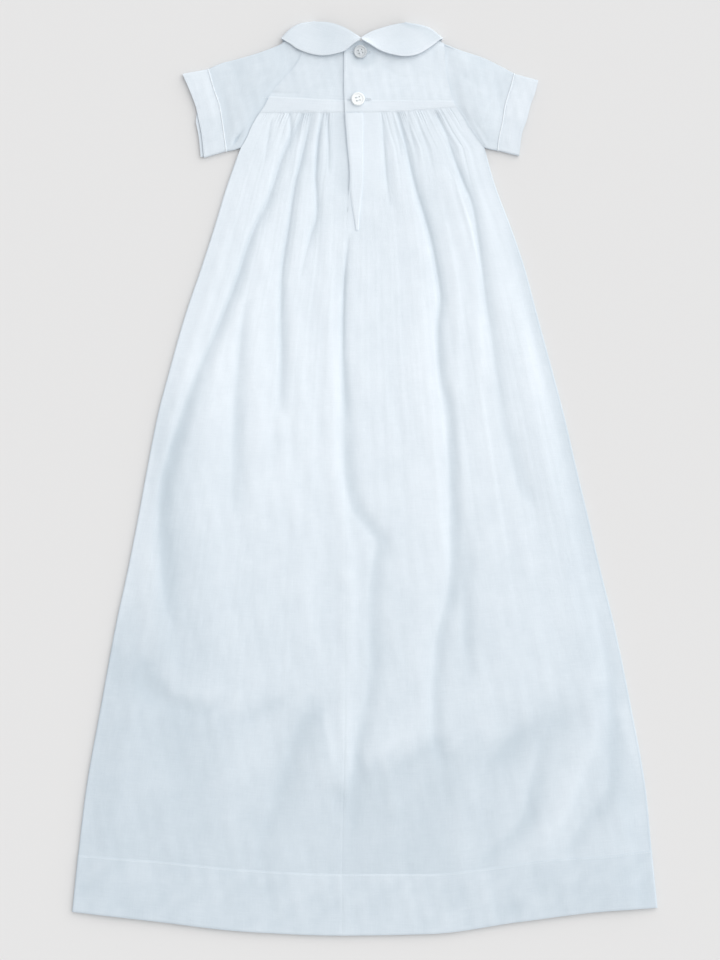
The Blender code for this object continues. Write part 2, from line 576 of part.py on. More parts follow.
def collar_half(name, neck_back, outer_back, fold, neck_front, outer_front, hand):
    """One half of the collar: on the back, round the shoulder and on to the front below."""
    low = COLLAR_WALL / 2
    radius = (COLLAR_BACK_Z - low) / 2
    inset = radius + COLLAR_WALL / 2
    crease = trace(fold)

    def away(t):
        run = (crease(min(t + 0.04, 1)) - crease(max(t - 0.04, 0))).normalized()
        return Vector((run.y, -run.x)) * hand

    def inner(t):
        return crease(t) - away(t) * inset

    def cut(line, at_end):
        """Draw a line's end in to the inner edge of the fold."""
        points = [Vector(p) for p in line]
        end = inner(0.0 if line in (neck_back, neck_front) else 1.0)
        points[-1 if at_end else 0] = end
        return trace(points)

    def end_line(first, last):
        return lambda t: Vector(first).lerp(Vector(last), t)

    back = patch(cut(neck_back, True), cut(outer_back, True), end_line(neck_back[0], outer_back[0]), inner)
    front = patch(cut(neck_front, False), cut(outer_front, False), inner,
                  end_line(neck_front[-1], outer_front[-1]))

    def place(station, t):
        kind, s = station
        if kind == "turn":
            spot = inner(t) + away(t) * radius * math.cos(math.radians(s))
            return spot.x, spot.y, low + radius + radius * math.sin(math.radians(s))
        if kind == "front":
            spot = front(s, t)
            return spot.x, spot.y, low
        spot = back(s, t)
        return spot.x, spot.y, COLLAR_BACK_Z + COLLAR_CURL * t * t * (1 - s ** 3)

    stations = [("back", s) for s in spread(9)] + [("turn", a) for a in (60, 30, 0, -30, -60)]
    stations += [("front", s) for s in spread(8)]
    cloth(name, stations, spread(4), place, COLLAR_WALL)


def button(name, x, y, turn):
    """A turned button with a raised rim and four holes."""
    mesh = bpy.data.meshes.new(name)
    net = bmesh.new()
    points = [net.verts.new((r * MM, 0.0, z * MM)) for r, z in BUTTON_PROFILE]
    for a, b in zip(points, points[1:]):
        net.edges.new((a, b))
    net.to_mesh(mesh)
    net.free()
    mesh.materials.append(SHELL_WHITE)
    made = bpy.data.objects.new(name, mesh)
    GOWN.objects.link(made)
    spin = made.modifiers.new("turned", "SCREW")
    spin.steps = spin.render_steps = BUTTON_STEPS
    spin.use_merge_vertices = True
    spin.merge_threshold = 0.0001
    spin.use_normal_calculate = True
    radius, offset = BUTTON_HOLE
    for number, (sx, sy) in enumerate(((1, 1), (-1, 1), (-1, -1), (1, -1))):
        tool_mesh = bpy.data.meshes.new(name + "_hole")
        net = bmesh.new()
        bmesh.ops.create_cone(net, cap_ends=True, segments=8, radius1=radius * MM, radius2=radius * MM,
                              depth=8 * MM)
        net.to_mesh(tool_mesh)
        net.free()
        tool = bpy.data.objects.new(f"{name}_hole_{number}", tool_mesh)
        CUTTERS.objects.link(tool)
        tool.hide_render = True
        tool.display_type = "WIRE"
        tool.parent = made
        tool.location = (sx * offset * MM, sy * offset * MM, 1.0 * MM)
        cut = made.modifiers.new(f"hole_{number}", "BOOLEAN")
        cut.operation = "DIFFERENCE"
        cut.solver = "EXACT"
        cut.object = tool
    made.rotation_euler.z = math.radians(turn)
    top = back_height(x, y, OVERLAP) + BAND_WALL - WALL / 2 + BUTTON_GAP
    made.location = (x * MM, y * MM, top * MM)


for thing in list(bpy.data.objects):
    bpy.data.objects.remove(thing)
GOWN = bpy.data.collections.new("baby_gown")
CUTTERS = bpy.data.collections.new("cutters")
for group in (GOWN, CUTTERS):
    bpy.context.scene.collection.children.link(group)
COTTON = material("white_cotton", (0.80, 0.86, 0.92), 0.85)
SHELL_WHITE = material("button_white", (0.82, 0.86, 0.88), 0.35)

skirt_back()
plackets()
skirt_front()
hems()
yokes()
sleeves()
collar_half("collar_left", NECK_BACK_LEFT, OUTER_BACK_LEFT, FOLD_LEFT, NECK_FRONT_LEFT, OUTER_FRONT_LEFT, 1)
collar_half("collar_right", NECK_BACK_RIGHT, OUTER_BACK_RIGHT, FOLD_RIGHT, NECK_FRONT_RIGHT,
            OUTER_FRONT_RIGHT, -1)
for row in BUTTONS:
    button(*row)
print("pieces:", len(GOWN.objects))
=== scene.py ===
# %% [markdown]
# # A long baby gown, laid flat on its front
# The gown is white cotton lawn, seen from straight above with its back up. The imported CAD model
# gives every piece its place. This lesson lays finer cloth on each solid: the same outlines and
# folds, worked out on much closer grids, with creases, gathers, stitches and a woven finish.

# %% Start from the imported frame
import math

import bmesh
import bpy
import numpy as np
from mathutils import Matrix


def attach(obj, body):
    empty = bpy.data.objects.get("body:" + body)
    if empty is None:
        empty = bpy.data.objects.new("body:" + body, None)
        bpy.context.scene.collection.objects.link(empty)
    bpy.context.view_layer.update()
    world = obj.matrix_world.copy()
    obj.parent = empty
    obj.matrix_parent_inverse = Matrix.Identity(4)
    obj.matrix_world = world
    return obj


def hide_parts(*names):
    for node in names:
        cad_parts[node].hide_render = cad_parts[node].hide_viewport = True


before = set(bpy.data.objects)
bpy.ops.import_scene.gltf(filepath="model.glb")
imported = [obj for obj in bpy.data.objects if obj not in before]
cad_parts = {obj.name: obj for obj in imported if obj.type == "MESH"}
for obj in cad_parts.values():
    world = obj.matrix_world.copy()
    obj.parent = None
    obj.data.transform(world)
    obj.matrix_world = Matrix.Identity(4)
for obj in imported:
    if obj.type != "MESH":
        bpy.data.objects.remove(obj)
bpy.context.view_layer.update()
print("CAD nodes:", len(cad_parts))

# %% [markdown]
# ## Camera, floor and light
# The photograph looks straight down, so the camera hangs over the middle of the picture. One of
# its pixels is 0.85 mm. Soft light comes from the upper right, which leaves the narrow shadow
# along the left side and under the hem.

# %% Camera over the gown
PIXEL = 0.85                      # millimetres of cloth in one pixel of the photograph
PHOTO_WIDTH, PHOTO_HEIGHT = 720, 960
ORIGIN_ACROSS, ORIGIN_DOWN = 365, 478.5       # the pixel that lies over the gown's origin
MM = 0.001
LENS, SENSOR = 100.0, 36.0
CLOTH_LEVEL = 0.004               # metres above the surface, where the picture is at true size
view_height = PHOTO_HEIGHT * PIXEL * MM
camera_data = bpy.data.cameras.new("top_camera")
camera_data.lens, camera_data.sensor_width = LENS, SENSOR
camera = bpy.data.objects.new("top_camera", camera_data)
camera.location = ((PHOTO_WIDTH / 2 - ORIGIN_ACROSS) * PIXEL * MM,
                   (ORIGIN_DOWN - PHOTO_HEIGHT / 2) * PIXEL * MM,
                   view_height * LENS / SENSOR + CLOTH_LEVEL)
bpy.context.scene.collection.objects.link(camera)
bpy.context.scene.camera = camera
print("camera height", round(camera.location.z, 3))


# %% Numbers on whole arrays
def mix(a, b, share):
    """The value a share of the way from a to b."""
    return a + (b - a) * share


def ease(low, high, value):
    """0 below low, 1 above high, and between them 3 t squared minus 2 t cubed."""
    t = np.clip((value - low) / (high - low), 0.0, 1.0)
    return t * t * (3.0 - 2.0 * t)


def fade(low, high, value):
    """The same step turned over: 1 below low and 0 above high."""
    return 1 - ease(low, high, value)


def level_curve(rows):
    """A smooth function through rows of place and value: a cubic between neighbours whose slope at
    each row is the harmonic mean of the slopes on both sides. It is flat beyond the ends."""
    table = np.array(sorted(rows), float)
    place, value = table[:, 0], table[:, 1]
    rate = np.diff(value) / np.diff(place)
    both = rate[:-1] * rate[1:]
    total = np.where(both > 0, rate[:-1] + rate[1:], 1)
    slope = np.concatenate([rate[:1], np.where(both > 0, 2 * both / total, 0), rate[-1:]])

    def read(at):
        at = np.clip(at, place[0], place[-1])
        i = np.clip(np.searchsorted(place, at, side="right") - 1, 0, len(place) - 2)
        gap = place[i + 1] - place[i]
        t = (at - place[i]) / gap
        return (value[i] * (1 + 2 * t) * (1 - t) ** 2 + slope[i] * gap * t * (1 - t) ** 2
                + value[i + 1] * t * t * (3 - 2 * t) + slope[i + 1] * gap * t * t * (t - 1))
    return read


def rounded(points, steps=8):
    """More points on the rounded line through points: the usual cubic through four neighbours."""
    knots = np.array(points, float)
    ends = np.vstack([knots[:1], knots, knots[-1:]])
    p0, p1, p2, p3 = ends[:-3, None], ends[1:-2, None], ends[2:-1, None], ends[3:, None]
    t = (np.arange(steps) / steps)[None, :, None]
    fine = 0.5 * (2 * p1 + (p2 - p0) * t + (2 * p0 - 5 * p1 + 4 * p2 - p3) * t ** 2
                  + (3 * p1 - p0 - 3 * p2 + p3) * t ** 3)
    return np.vstack([fine.reshape(-1, knots.shape[1]), knots[-1:]])


def trace(points):
    """A function from shares of the length to points on the rounded line."""
    fine = rounded(points)
    far = np.concatenate([[0], np.cumsum(np.linalg.norm(np.diff(fine, axis=0), axis=1))])

    def read(share):
        at = np.clip(share, 0, 1) * far[-1]
        return np.stack([np.interp(at, far, fine[:, k]) for k in range(fine.shape[1])], -1)
    return read


def patch(low, high, left, right):
    """A function of two shares that fills four joined lines: the two blends of facing lines are
    added, and the blend of the four corners is taken off."""
    def read(u, v):
        u, v = np.broadcast_arrays(np.asarray(u, float), np.asarray(v, float))
        a, b = u[..., None], v[..., None]
        zero, one = np.zeros_like(u), np.ones_like(u)
        corners = mix(mix(low(zero), low(one), a), mix(high(zero), high(one), a), b)
        return mix(low(u), high(u), b) + mix(left(v), right(v), a) - corners
    return read


print("half way up a step:", float(ease(0, 1, 0.5)))

# %% [markdown]
# ## The outlines
# The tables are the CAD source's, in millimetres, because this script can't read that file. Each
# is a short list of points measured on the photograph.

# %% Outlines and seams
SIDES = ((281, -106, 102), (262, -113, 107), (246, -118.5, 112), (213, -128.5, 124.5), (179, -139.5, 136),
         (136, -154, 147.5), (90, -167, 160), (56, -176, 169), (11, -185, 179.5), (-35, -193.5, 190.5),
         (-78, -202, 200.5), (-124, -212, 212), (-192, -224.5, 226), (-265, -237.5, 239),
         (-317, -243.8, 244), (-367, -249, 249))
UNDERARM_Y, WAIST_Y, HEM_Y = 281, 311, -388
ARM_LEFT = ((-56, 379), (-54.5, 372), (-54, 362.5), (-58.5, 352), (-68, 341), (-79.5, 328),
            (-86, 316), (-92, 308), (-97, 299), (-101, 289.5), (-106, 281))
ARM_RIGHT = ((67, 370), (68, 361), (68.5, 352), (69.5, 342), (72, 332), (75.5, 320),
             (82.5, 309.5), (91, 296), (102, 281))
TOP_LEFT = ((-56, 379), (-63.5, 375), (-69.5, 371.5), (-73, 369), (-90, 362.5), (-111, 356.5),
            (-122.5, 353.5), (-133.5, 348.5))
UNDER_LEFT = ((-106, 281), (-112, 279), (-118, 278))
CUFF_LEFT = ((-133.5, 348.5), (-128.5, 331), (-124, 318), (-121.5, 304), (-119.5, 289.5), (-118, 278))
EDGE_LEFT = ((-155.5, 344.5), (-149.5, 331), (-144, 316.5), (-141, 303), (-138.5, 289.5), (-137, 272.5))
TOP_RIGHT = ((67, 370), (81, 364.5), (102, 357.5), (120, 348.5), (127, 344.5))
UNDER_RIGHT = ((102, 281), (107, 279.6), (113, 278.5))
CUFF_RIGHT = ((127, 344.5), (124, 333), (119.5, 318), (117, 303), (114, 288.5), (113, 278.5))
EDGE_RIGHT = ((147.5, 339), (144.5, 327.5), (141, 318), (137.5, 304.5), (133.5, 293), (131, 274))
STRIP_TOP = ((-81, 325), (-17, 322), (75, 321.5))
STRIP_LOW = ((-90, 310.5), (-17, 310.5), (30, 311.5), (77, 315.5))
HEM_LINE = ((-243, -320), (-166, -326), (-107, -332), (-19, -336), (55, -336), (97, -332),
            (165, -323), (199, -321), (243, -316))
HEM_EDGE = ((-249, -368.5), (-183, -376), (-98, -385.5), (-21, -388.5), (55, -387.2), (131, -377),
            (199, -368.5), (249, -365))
SHOULDER_BACK = ((-56, 379), (-41, 385.5), (-30, 385.8), (-17.5, 381), (-3.4, 372),
                 (5, 377.5), (21, 382.5), (34, 384.2), (50, 378.5), (67, 370))
SHOULDER_FRONT = ((-56, 379), (-41, 385), (-36, 372), (-24, 361), (-3.4, 356.5), (18, 361),
                  (29, 372), (34, 383.5), (50, 378.5), (67, 370))
PLACKET = ((386, -17.5), (335, -17.8), (311, -17), (288, -15.3), (257, -12.8), (237, -13.9),
           (198, -17), (90, -17.5), (-30, -17), (-190, -17), (-336, -19.5), (-389, -19.5))
SLIT_END, UNDERLAP_EDGE = 257, 5.0
STRIP_LEFT_EDGE = ((311, -16.6), (288, -14.9), (257, -12.4), (246, -12.6), (236, -11.4), (211, -7.6))
STRIP_RIGHT_EDGE = ((311, -1.8), (288, -1.8), (257, -1.8), (246, -2.2), (236, -3.4), (211, -5.6))

arm_left = level_curve([(y, x) for x, y in ARM_LEFT])
arm_right = level_curve([(y, x) for x, y in ARM_RIGHT])
left_seam = level_curve([(y, a) for y, a, b in SIDES])
right_seam = level_curve([(y, b) for y, a, b in SIDES])
strip_top, strip_low = level_curve(STRIP_TOP), level_curve(STRIP_LOW)
hem_line, hem_edge = level_curve(HEM_LINE), level_curve(HEM_EDGE)
shoulder_back, shoulder_front = level_curve(SHOULDER_BACK), level_curve(SHOULDER_FRONT)
placket = level_curve(PLACKET)


def left_side(y):
    """Left edge of the body: the armhole above the underarm, the side seam below it."""
    return np.where(y > UNDERARM_Y, arm_left(y), left_seam(y))


def right_side(y):
    """Right edge of the body, in the same way."""
    return np.where(y > UNDERARM_Y, arm_right(y), right_seam(y))


print("skirt from", float(hem_edge(0.0)), "to", float(strip_low(0.0)), "mm")

# %% [markdown]
# ## The folds
# A crease in pressed cotton has a sharp bottom and soft shoulders, and one shoulder is steeper.
# Each row is one crease or ridge seen in the photograph: how wide it is, how much steeper its
# right side is, and the points it runs through with its height at each.

# %% Creases and ridges of the back
FOLDS = (
    ("left border ridge", 7, 0.2, ((-100, 262, 0.3), (-116, 215, 1.2), (-131, 160, 1.8),
     (-150, 100, 2.0), (-166, 50, 2.2), (-179, 0, 2.0), (-184, -45, 1.8), (-182, -90, 2.2),
     (-176, -132, 2.0), (-167, -162, 1.2))),
    ("left long valley", 5, -0.3, ((-53, 309, -1.4), (-62, 292, -1.7), (-70, 275, -1.8),
     (-82, 238, -2.0), (-97, 206, -2.2), (-112, 160, -2.4), (-139, 95, -2.4), (-154, 53, -2.4),
     (-170, 1, -2.2), (-172, -30, -1.8), (-170, -72, -1.6), (-167, -114, -0.6))),
    ("left panel ridge", 14, 0.0, ((-100, 190, 0.8), (-116, 120, 1.8), (-130, 50, 2.0), (-138, 0, 1.8),
     (-138, -60, 1.4), (-128, -130, 1.2))),
    ("left short valley", 5, -0.2, ((-102, 147, -0.8), (-108, 89, -1.8), (-110, 8, -1.8),
     (-110, -25, -0.6))),
    ("second left ridge", 11, 0.0, ((-84, 200, 1.0), (-90, 140, 1.8), (-92, 80, 1.8), (-90, 20, 1.4),
     (-84, -40, 1.0))),
    ("second left valley", 4, -0.2, ((-46, 309, -1.0), (-49, 294, -1.6), (-55, 268, -1.9),
     (-60, 247, -1.8), (-65, 213, -2.0), (-71, 169, -2.0), (-71, 89, -1.8), (-71, 60, -0.6))),
    ("third left ridge", 9, 0.0, ((-50, 255, 1.0), (-54, 215, 1.6), (-60, 165, 1.6), (-56, 110, 1.4),
     (-50, 40, 1.2), (-48, -40, 1.4), (-50, -120, 1.4), (-46, -170, 0.8))),
    ("third left valley", 3.5, -0.2, ((-36, 309, -1.5), (-40, 288, -1.8), (-42, 257, -1.8),
     (-41, 224, -1.4), (-47, 204, -1.2), (-55, 172, -0.4))),
    ("left seam tuck", 2.6, 0.0, ((-64, 309, -1.2), (-63, 296, -1.4), (-65, 280, -0.5))),
    ("left outer tuck", 2.6, 0.0, ((-80, 304, -0.5), (-83, 285, -0.7), (-86, 268, -0.2))),
    ("right seam tuck", 2.4, 0.0, ((24, 304, -0.3), (29, 284, -0.5), (31, 272, -0.1))),
    ("right short tuck", 2.4, 0.0, ((36, 308, -0.5), (40, 290, -0.5), (43, 276, -0.1))),
    ("right faint tuck", 3, 0.0, ((44, 306, -0.3), (52, 284, -0.4), (58, 262, -0.1))),
    ("right bright pleat", 2.2, 0.5, ((76, 255, 0.6), (82, 236, 1.2), (89, 214, 1.3), (95, 188, 0.9),
     (99, 170, 0.3))),
    ("fourth left valley", 3, 0.0, ((-32, 309, -1.0), (-31, 284, -1.3), (-31, 263, -0.7))),
    ("centre ridge", 5.5, 0.2, ((-29, 230, 0.6), (-31, 180, 1.4), (-30, 130, 1.8), (-28, 85, 2.4),
     (-27, 17, 2.4), (-21, -12, 2.2), (-17, -52, 2.0), (-14, -110, 1.4), (-17, -194, 1.8),
     (-17, -256, 1.6), (-18, -300, 0.6))),
    ("centre line", 2.8, 0.0, ((-14, 204, -0.7), (-18, 163, -2.0), (-19, 115, -2.2), (-18, 80, -1.5),
     (-17, 52, -0.3))),
    ("centre valley", 4.5, -0.2, ((-18, 100, -0.3), (-17, 68, -1.5), (-16, 24, -2.0), (-14, -5, -2.0),
     (-8, -26, -1.9), (2, -39, -1.8), (11, -50, -1.7), (12, -62, -1.6), (8, -82, -1.6),
     (6, -110, -1.6), (6, -171, -1.8), (-4, -218, -2.0), (-8, -246, -2.0), (-10, -270, -1.4),
     (-13, -322, -0.4))),
    ("first right valley", 3.5, 0.0, ((14, 310, -1.2), (16, 284, -1.3), (18, 258, -1.1),
     (21, 233, -0.4))),
    ("right panel ridge", 10, 0.2, ((24, 280, 0.6), (34, 245, 1.4), (44, 205, 2.0), (50, 160, 2.2),
     (50, 110, 2.2), (55, 60, 2.4), (59, 0, 2.4), (60, -60, 2.2), (54, -120, 1.8), (46, -180, 1.4),
     (48, -240, 0.8))),
    ("right long valley", 4.2, -0.2, ((28, 309, -1.3), (34, 284, -1.5), (42, 250, -2.0),
     (52, 217, -2.2), (57, 198, -2.4), (61, 176, -2.4), (64, 152, -2.4), (62, 129, -2.4),
     (64, 89, -2.4), (71, 56, -2.4), (74, -1, -2.4), (75, -68, -2.2), (72, -103, -2.0),
     (62, -142, -1.8), (60, -215, -1.8), (68, -243, -0.6))),
    ("thin right ridge", 4.5, 0.0, ((68, 215, 0.6), (77, 168, 1.2), (79, 118, 1.4), (79, 60, 1.0),
     (84, 0, 0.8))),
    ("low right valley", 4.5, 0.0, ((86, -50, -0.4), (86, -69, -1.2), (86, -150, -1.4),
     (88, -174, -0.4))),
    ("second right ridge", 5.5, 0.2, ((70, 257, 0.8), (80, 220, 1.0), (92, 176, 1.3), (97, 114, 1.5),
     (99, 48, 1.4), (108, 0, 1.2), (112, -60, 0.8))),
    ("second right valley", 4.2, -0.2, ((61, 309, -1.2), (69, 292, -1.1), (77, 268, -1.6),
     (84, 250, -1.8), (93, 224, -1.5), (103, 149, -1.5), (108, 119, -1.5), (113, 83, -1.3),
     (118, 48, -1.3), (124, 24, -1.3), (132, -6, -1.2), (138, -18, -0.4))),
    ("right border ridge", 8, 0.2, ((118, 200, 0.6), (129, 155, 1.0), (137, 129, 1.4), (146, 73, 1.5),
     (155, 28, 1.4), (162, -12, 1.0), (168, -60, 0.6), (176, -120, 0.5))),
    ("right swell", 16, 0.0, ((125, -60, 0.8), (130, -120, 1.4), (140, -170, 1.2))),
    ("right corner valley", 5, -0.2, ((200, -111, -0.6), (209, -174, -1.4), (210, -216, -1.6),
     (210, -257, -1.6), (206, -270, -1.4), (187, -295, -1.4), (174, -316, -0.8))),
    ("right corner ridge", 7, 0.2, ((186, -170, 0.8), (194, -211, 2.3), (178, -257, 3.0),
     (164, -290, 2.7), (150, -309, 1.4))),
    ("right slant valley", 8, -0.2, ((173, -198, -0.8), (141, -215, -2.0), (116, -234, -2.2),
     (102, -251, -1.0))),
    ("right hem valley", 5.5, -0.2, ((152, -224, -1.0), (143, -262, -1.8), (137, -290, -2.2),
     (125, -303, -1.9), (108, -317, -1.2), (98, -334, -0.5))),
    ("left bow valley", 5.5, 0.0, ((-188, -147, -0.6), (-188, -174, -1.4), (-169, -188, -1.8),
     (-146, -198, -1.6), (-123, -194, -0.6))),
    ("left corner ridge", 12, 0.0, ((-205, -190, 0.8), (-196, -230, 1.6), (-180, -270, 1.6),
     (-165, -310, 0.8))),
    ("left cross valley", 4.5, 0.0, ((-100, -205, -0.4), (-93, -201, -1.2), (-63, -184, -0.6))),
    ("left low ridge", 12, 0.0, ((-130, -215, 0.8), (-118, -250, 1.4), (-115, -300, 1.0))),
    ("left slant valley", 6.5, -0.2, ((-32, -192, -0.6), (-51, -205, -1.4), (-59, -228, -1.8),
     (-71, -263, -1.8), (-80, -290, -1.6), (-90, -328, -1.0), (-96, -350, -0.4))),
    ("centre low ridge", 8, 0.3, ((-38, -205, 0.8), (-33, -230, 2.2), (-29, -254, 2.4),
     (-28, -266, 1.0))),
    ("centre nick", 5, 0.0, ((-26, -266, -0.8), (-20, -272, -1.6), (-17, -286, -0.8))),
    ("centre nub", 4.5, 0.0, ((-24, -80, 0.6), (-16, -83, 1.8), (-11, -87, 0.8))),
    ("left nub", 4.5, 0.0, ((-71, 50, 0.5), (-68, 20, 1.1), (-62, -10, 1.4), (-58, -30, 0.5))),
    ("right low ridge", 10, 0.0, ((20, -230, 0.8), (24, -270, 1.4), (22, -320, 1.0))),
    ("far right low ridge", 9, 0.0, ((85, -230, 0.8), (86, -280, 1.6), (80, -330, 1.0))),
    ("hem dent left", 8, 0.0, ((-226, -340, -0.6), (-232, -352, -0.6))),
    ("hem dent middle", 7, 0.0, ((-124, -352, -0.6), (-115, -372, -0.9))),
    ("hem wave right", 7, 0.2, ((137, -338, -0.6), (100, -360, -1.1), (70, -379, -0.9))),
)


RIDGE_SHARE, HOLLOW_SHARE = 0.68, 0.85        # of the height in a row, for ridges and for hollows
SOFT, SHARP, SHARP_WIDTH = 0.6, 0.46, 0.34
SHADE_LEFT, SHADE_RIGHT = 0.6, 1.5


def crease_parts(x, y, folds):
    """Heights of all creases at x, y, and how deep in a hollow each point is. For each crease, the
    distance d to its line and the height h at the nearest point are found, and a share of h times
    (SOFT exp(-(d/w)^2) + s exp(-(d/0.34w)^2)) is added. The sharp part s is for hollows alone and
    fades out down the skirt. The width w differs between the sides by the row's lean, and grows
    from the waist to the hem. Hollows also add h exp(-(d/b)^4) to the shade, which is level inside
    with clear edges. Its width b grows in the same way and is larger on the right."""
    total, hollow = np.zeros_like(x), np.zeros_like(x)
    for _, width, lean, knots in folds:
        line = rounded(knots, 4)
        reach = 3.6 * width * (1 + abs(lean))
        near = ((x > line[:, 0].min() - reach) & (x < line[:, 0].max() + reach)
                & (y > line[:, 1].min() - reach) & (y < line[:, 1].max() + reach))
        px, py = x[near], y[near]
        if not px.size:
            continue
        best, height, side = np.full(px.shape, 1e9), np.zeros(px.shape), np.zeros(px.shape)
        for a, b in zip(line[:-1], line[1:]):
            run = b - a
            t = np.clip(((px - a[0]) * run[0] + (py - a[1]) * run[1]) / (run[0] ** 2 + run[1] ** 2), 0, 1)
            dx, dy = px - a[0] - run[0] * t, py - a[1] - run[1] * t
            far = np.hypot(dx, dy)
            closer = far < best
            best = np.where(closer, far, best)
            height = np.where(closer, a[2] + run[2] * t, height)
            side = np.where(closer, run[0] * dy - run[1] * dx, side)
        middle, top = ease(-60, 170, py), ease(190, 300, py)
        w = width * np.where(side > 0, 1 - lean, 1 + lean) * (1.45 - 0.4 * middle - 0.25 * top)
        sharp = SHARP * ease(20, 230, py) * (height < 0)
        shape = SOFT * np.exp(-(best / w) ** 2) + sharp * np.exp(-(best / (SHARP_WIDTH * w)) ** 2)
        total[near] += height * np.where(height > 0, RIDGE_SHARE, HOLLOW_SHARE) * shape
        shaded = width * np.where(side > 0, SHADE_RIGHT, SHADE_LEFT) * (1.3 - 0.3 * middle - 0.2 * top)
        hollow[near] += np.minimum(height, 0) * np.exp(-(best / shaded) ** 4)
    return total, hollow


def crease_sum(x, y, folds):
    """The heights alone, as crease_parts adds them."""
    return crease_parts(x, y, folds)[0]


print(len(FOLDS), "creases and ridges")

# %% [markdown]
# ## Small waves
# Between the big folds the cloth is never quite flat. Two kinds of small wave are added: streaks
# that fan out from the gathers, and soft puckers in all directions. Both are sums of cosines whose
# directions and phases come from one seeded generator, so every run gives the same cloth.

# %% Streaks and puckers
shuffle = np.random.default_rng(11)
STREAKS = [(n, *shuffle.uniform((0.4, 0, -0.9, 0), (1.0, 2 * math.pi, 0.9, 2 * math.pi)))
           for n in (9, 13, 17, 22, 27, 31, 38, 46, 55, 67, 83)]
PUCKERS = [(math.cos(a) / w, math.sin(a) / w, p, s) for a, w, p, s in
           shuffle.uniform((0, 12, 0, 0.3), (math.pi, 60, 2 * math.pi, 1.0), (26, 4))]


def seam_dip(x, y):
    """The pressed centre back seam: a groove 0.3 mm deep and 1 mm to each side, below the slit. It
    is full from y = -200 down and 0.4 as deep above."""
    groove = fade(-0.4, 1.0, np.abs(x - placket(y)))
    return -0.3 * groove * fade(205, 230, y) * mix(1, 0.4, ease(-200, -180, y))


def streaks(x, y):
    """Waves along the fan lines: sum of a cos(2 pi n f + p + drift), f being the share of the width."""
    left, right = left_side(y), right_side(y)
    share = (x - left) / (right - left)
    total = np.zeros_like(x)
    for n, size, phase, drift, late in STREAKS:
        patchy = 0.55 + 0.45 * np.cos(late + y / 60 + 5 * share)
        total += size * patchy * np.cos(2 * math.pi * n * share + phase + drift * y / 55) / (1 + n / 40)
    return total / 3.2


def puckers(x, y):
    """Soft unevenness: a sum of plane cosines with lengths from 12 to 60 mm."""
    total = np.zeros_like(x)
    for across, up, phase, size in PUCKERS:
        total += size * np.cos(2 * math.pi * (across * x + up * y) + phase)
    return total / 4


print(len(STREAKS), "streak waves,", len(PUCKERS), "pucker waves")

# %% [markdown]
# ## Heights of the flat gown
# The front lies on the surface. It rises over the front of the collar, which is underneath it.
# The back lies over the front, with a little air in the skirt and the folds on top. At the placket
# the right half lies over the left half.

# %% Height of the front and the back
ROLL, PUFF = 1.2, 1.8             # radius of the folded sides, and the air in the skirt
LOW_LIMIT, COLLAR_LIFT = 1.4, 1.5             # least gap over the front, and height of the collar below
UNDERLAP, OVERLAP = -0.9, 0.5     # how far the left and the right half are moved at the placket
WALL, BAND_WALL = 1.0, 1.4        # of the solids, single and doubled; the cloth laid on them is thinner:
LAWN, UNDER_STRIP, WAIST_STRIP, DOUBLED, CUFF = 0.5, 0.6, 0.7, 0.8, 0.9


def lift(x, y):
    """How far the collar below holds up the body: in full within an oval round the neck, 160 mm
    across, and nothing beyond 1.6 times its size."""
    reach = np.hypot((x + 3) / 80, (y - 385) / 70)
    return COLLAR_LIFT * fade(1.0, 1.6, reach)


def placket_zone(x, y):
    """1 where the halves lie over each other, 0 away from there."""
    return ease(-34, -20, x) * fade(8, 22, x) * ease(234, 250, y)


def back_height(x, y, layer=0.0):
    """Mid height of the back: front height, side rolls, air, folds and small waves, which all die
    out at the sides and are shallower at the hem. A soft lower limit, the log of one plus an
    exponential, keeps it clear of the front. At the placket the folds are pressed flat, and layer
    moves the cloth up or down."""
    inward = ease(1, 30, x - left_side(y)) * ease(1, 30, right_side(y) - x)
    air = PUFF * inward * ease(0, 60, WAIST_Y - y) * mix(0.3, 1.0, ease(HEM_Y, -340, y))
    edge = ease(1, 15, x - left_side(y)) * ease(1, 15, right_side(y) - x)
    hem = mix(0.25, 1.0, ease(HEM_Y, -330, y))
    skirt = y < WAIST_Y + 1
    folds = crease_sum(x, y, FOLDS) * edge * hem * skirt
    fan = ease(-330, -60, y) * ease(0, 25, WAIST_Y - y) * 0.3 + 0.05
    small = (streaks(x, y) * fan * 0.6 + puckers(x, y) * 0.16) * mix(0.35, 1, edge) * skirt
    zone = placket_zone(x, y)
    rise = 2 * ROLL + air + (folds + small) * (1 - 0.85 * zone)
    over = np.log1p(np.exp(np.clip((rise - LOW_LIMIT) * 4, -40, 40))) / 4
    return WALL / 2 + lift(x, y) + LOW_LIMIT + over + layer * zone + seam_dip(x, y)


def front_height(x, y):
    """Mid height of the front: flat on the surface, with shallow dents into the gown."""
    dents = np.clip(streaks(x, y) * 0.5 * ease(-200, 250, y) + puckers(x, y) * 0.35, 0, 0.5)
    return WALL / 2 + lift(x, y) + dents * (y < WAIST_Y + 1)


middle_height = back_height(np.array([0.0]), np.array([0.0]))[0]
print("back at the middle:", round(float(middle_height), 2), "mm above the surface")

# %% [markdown]
# ## From grid to cloth
# Every cloth piece is one grid of points. Its faces join neighbouring points, its UV map holds the
# flat place of each point on the cloth, and a thin Solidify wall gives it an edge. A value called
# tone says how many layers of white lie there, because lawn is whiter where it is doubled. It also
# carries painted light and painted shade: lighter ridges, darker hollows and shaded regions.

# %% Mesh from a grid
def grid_faces(rows, columns):
    """Four-cornered faces between neighbouring points, all turned the same way."""
    at = np.arange(rows * columns).reshape(rows, columns)
    return np.stack([at[:-1, :-1], at[:-1, 1:], at[1:, 1:], at[1:, :-1]], -1).reshape(-1, 4)


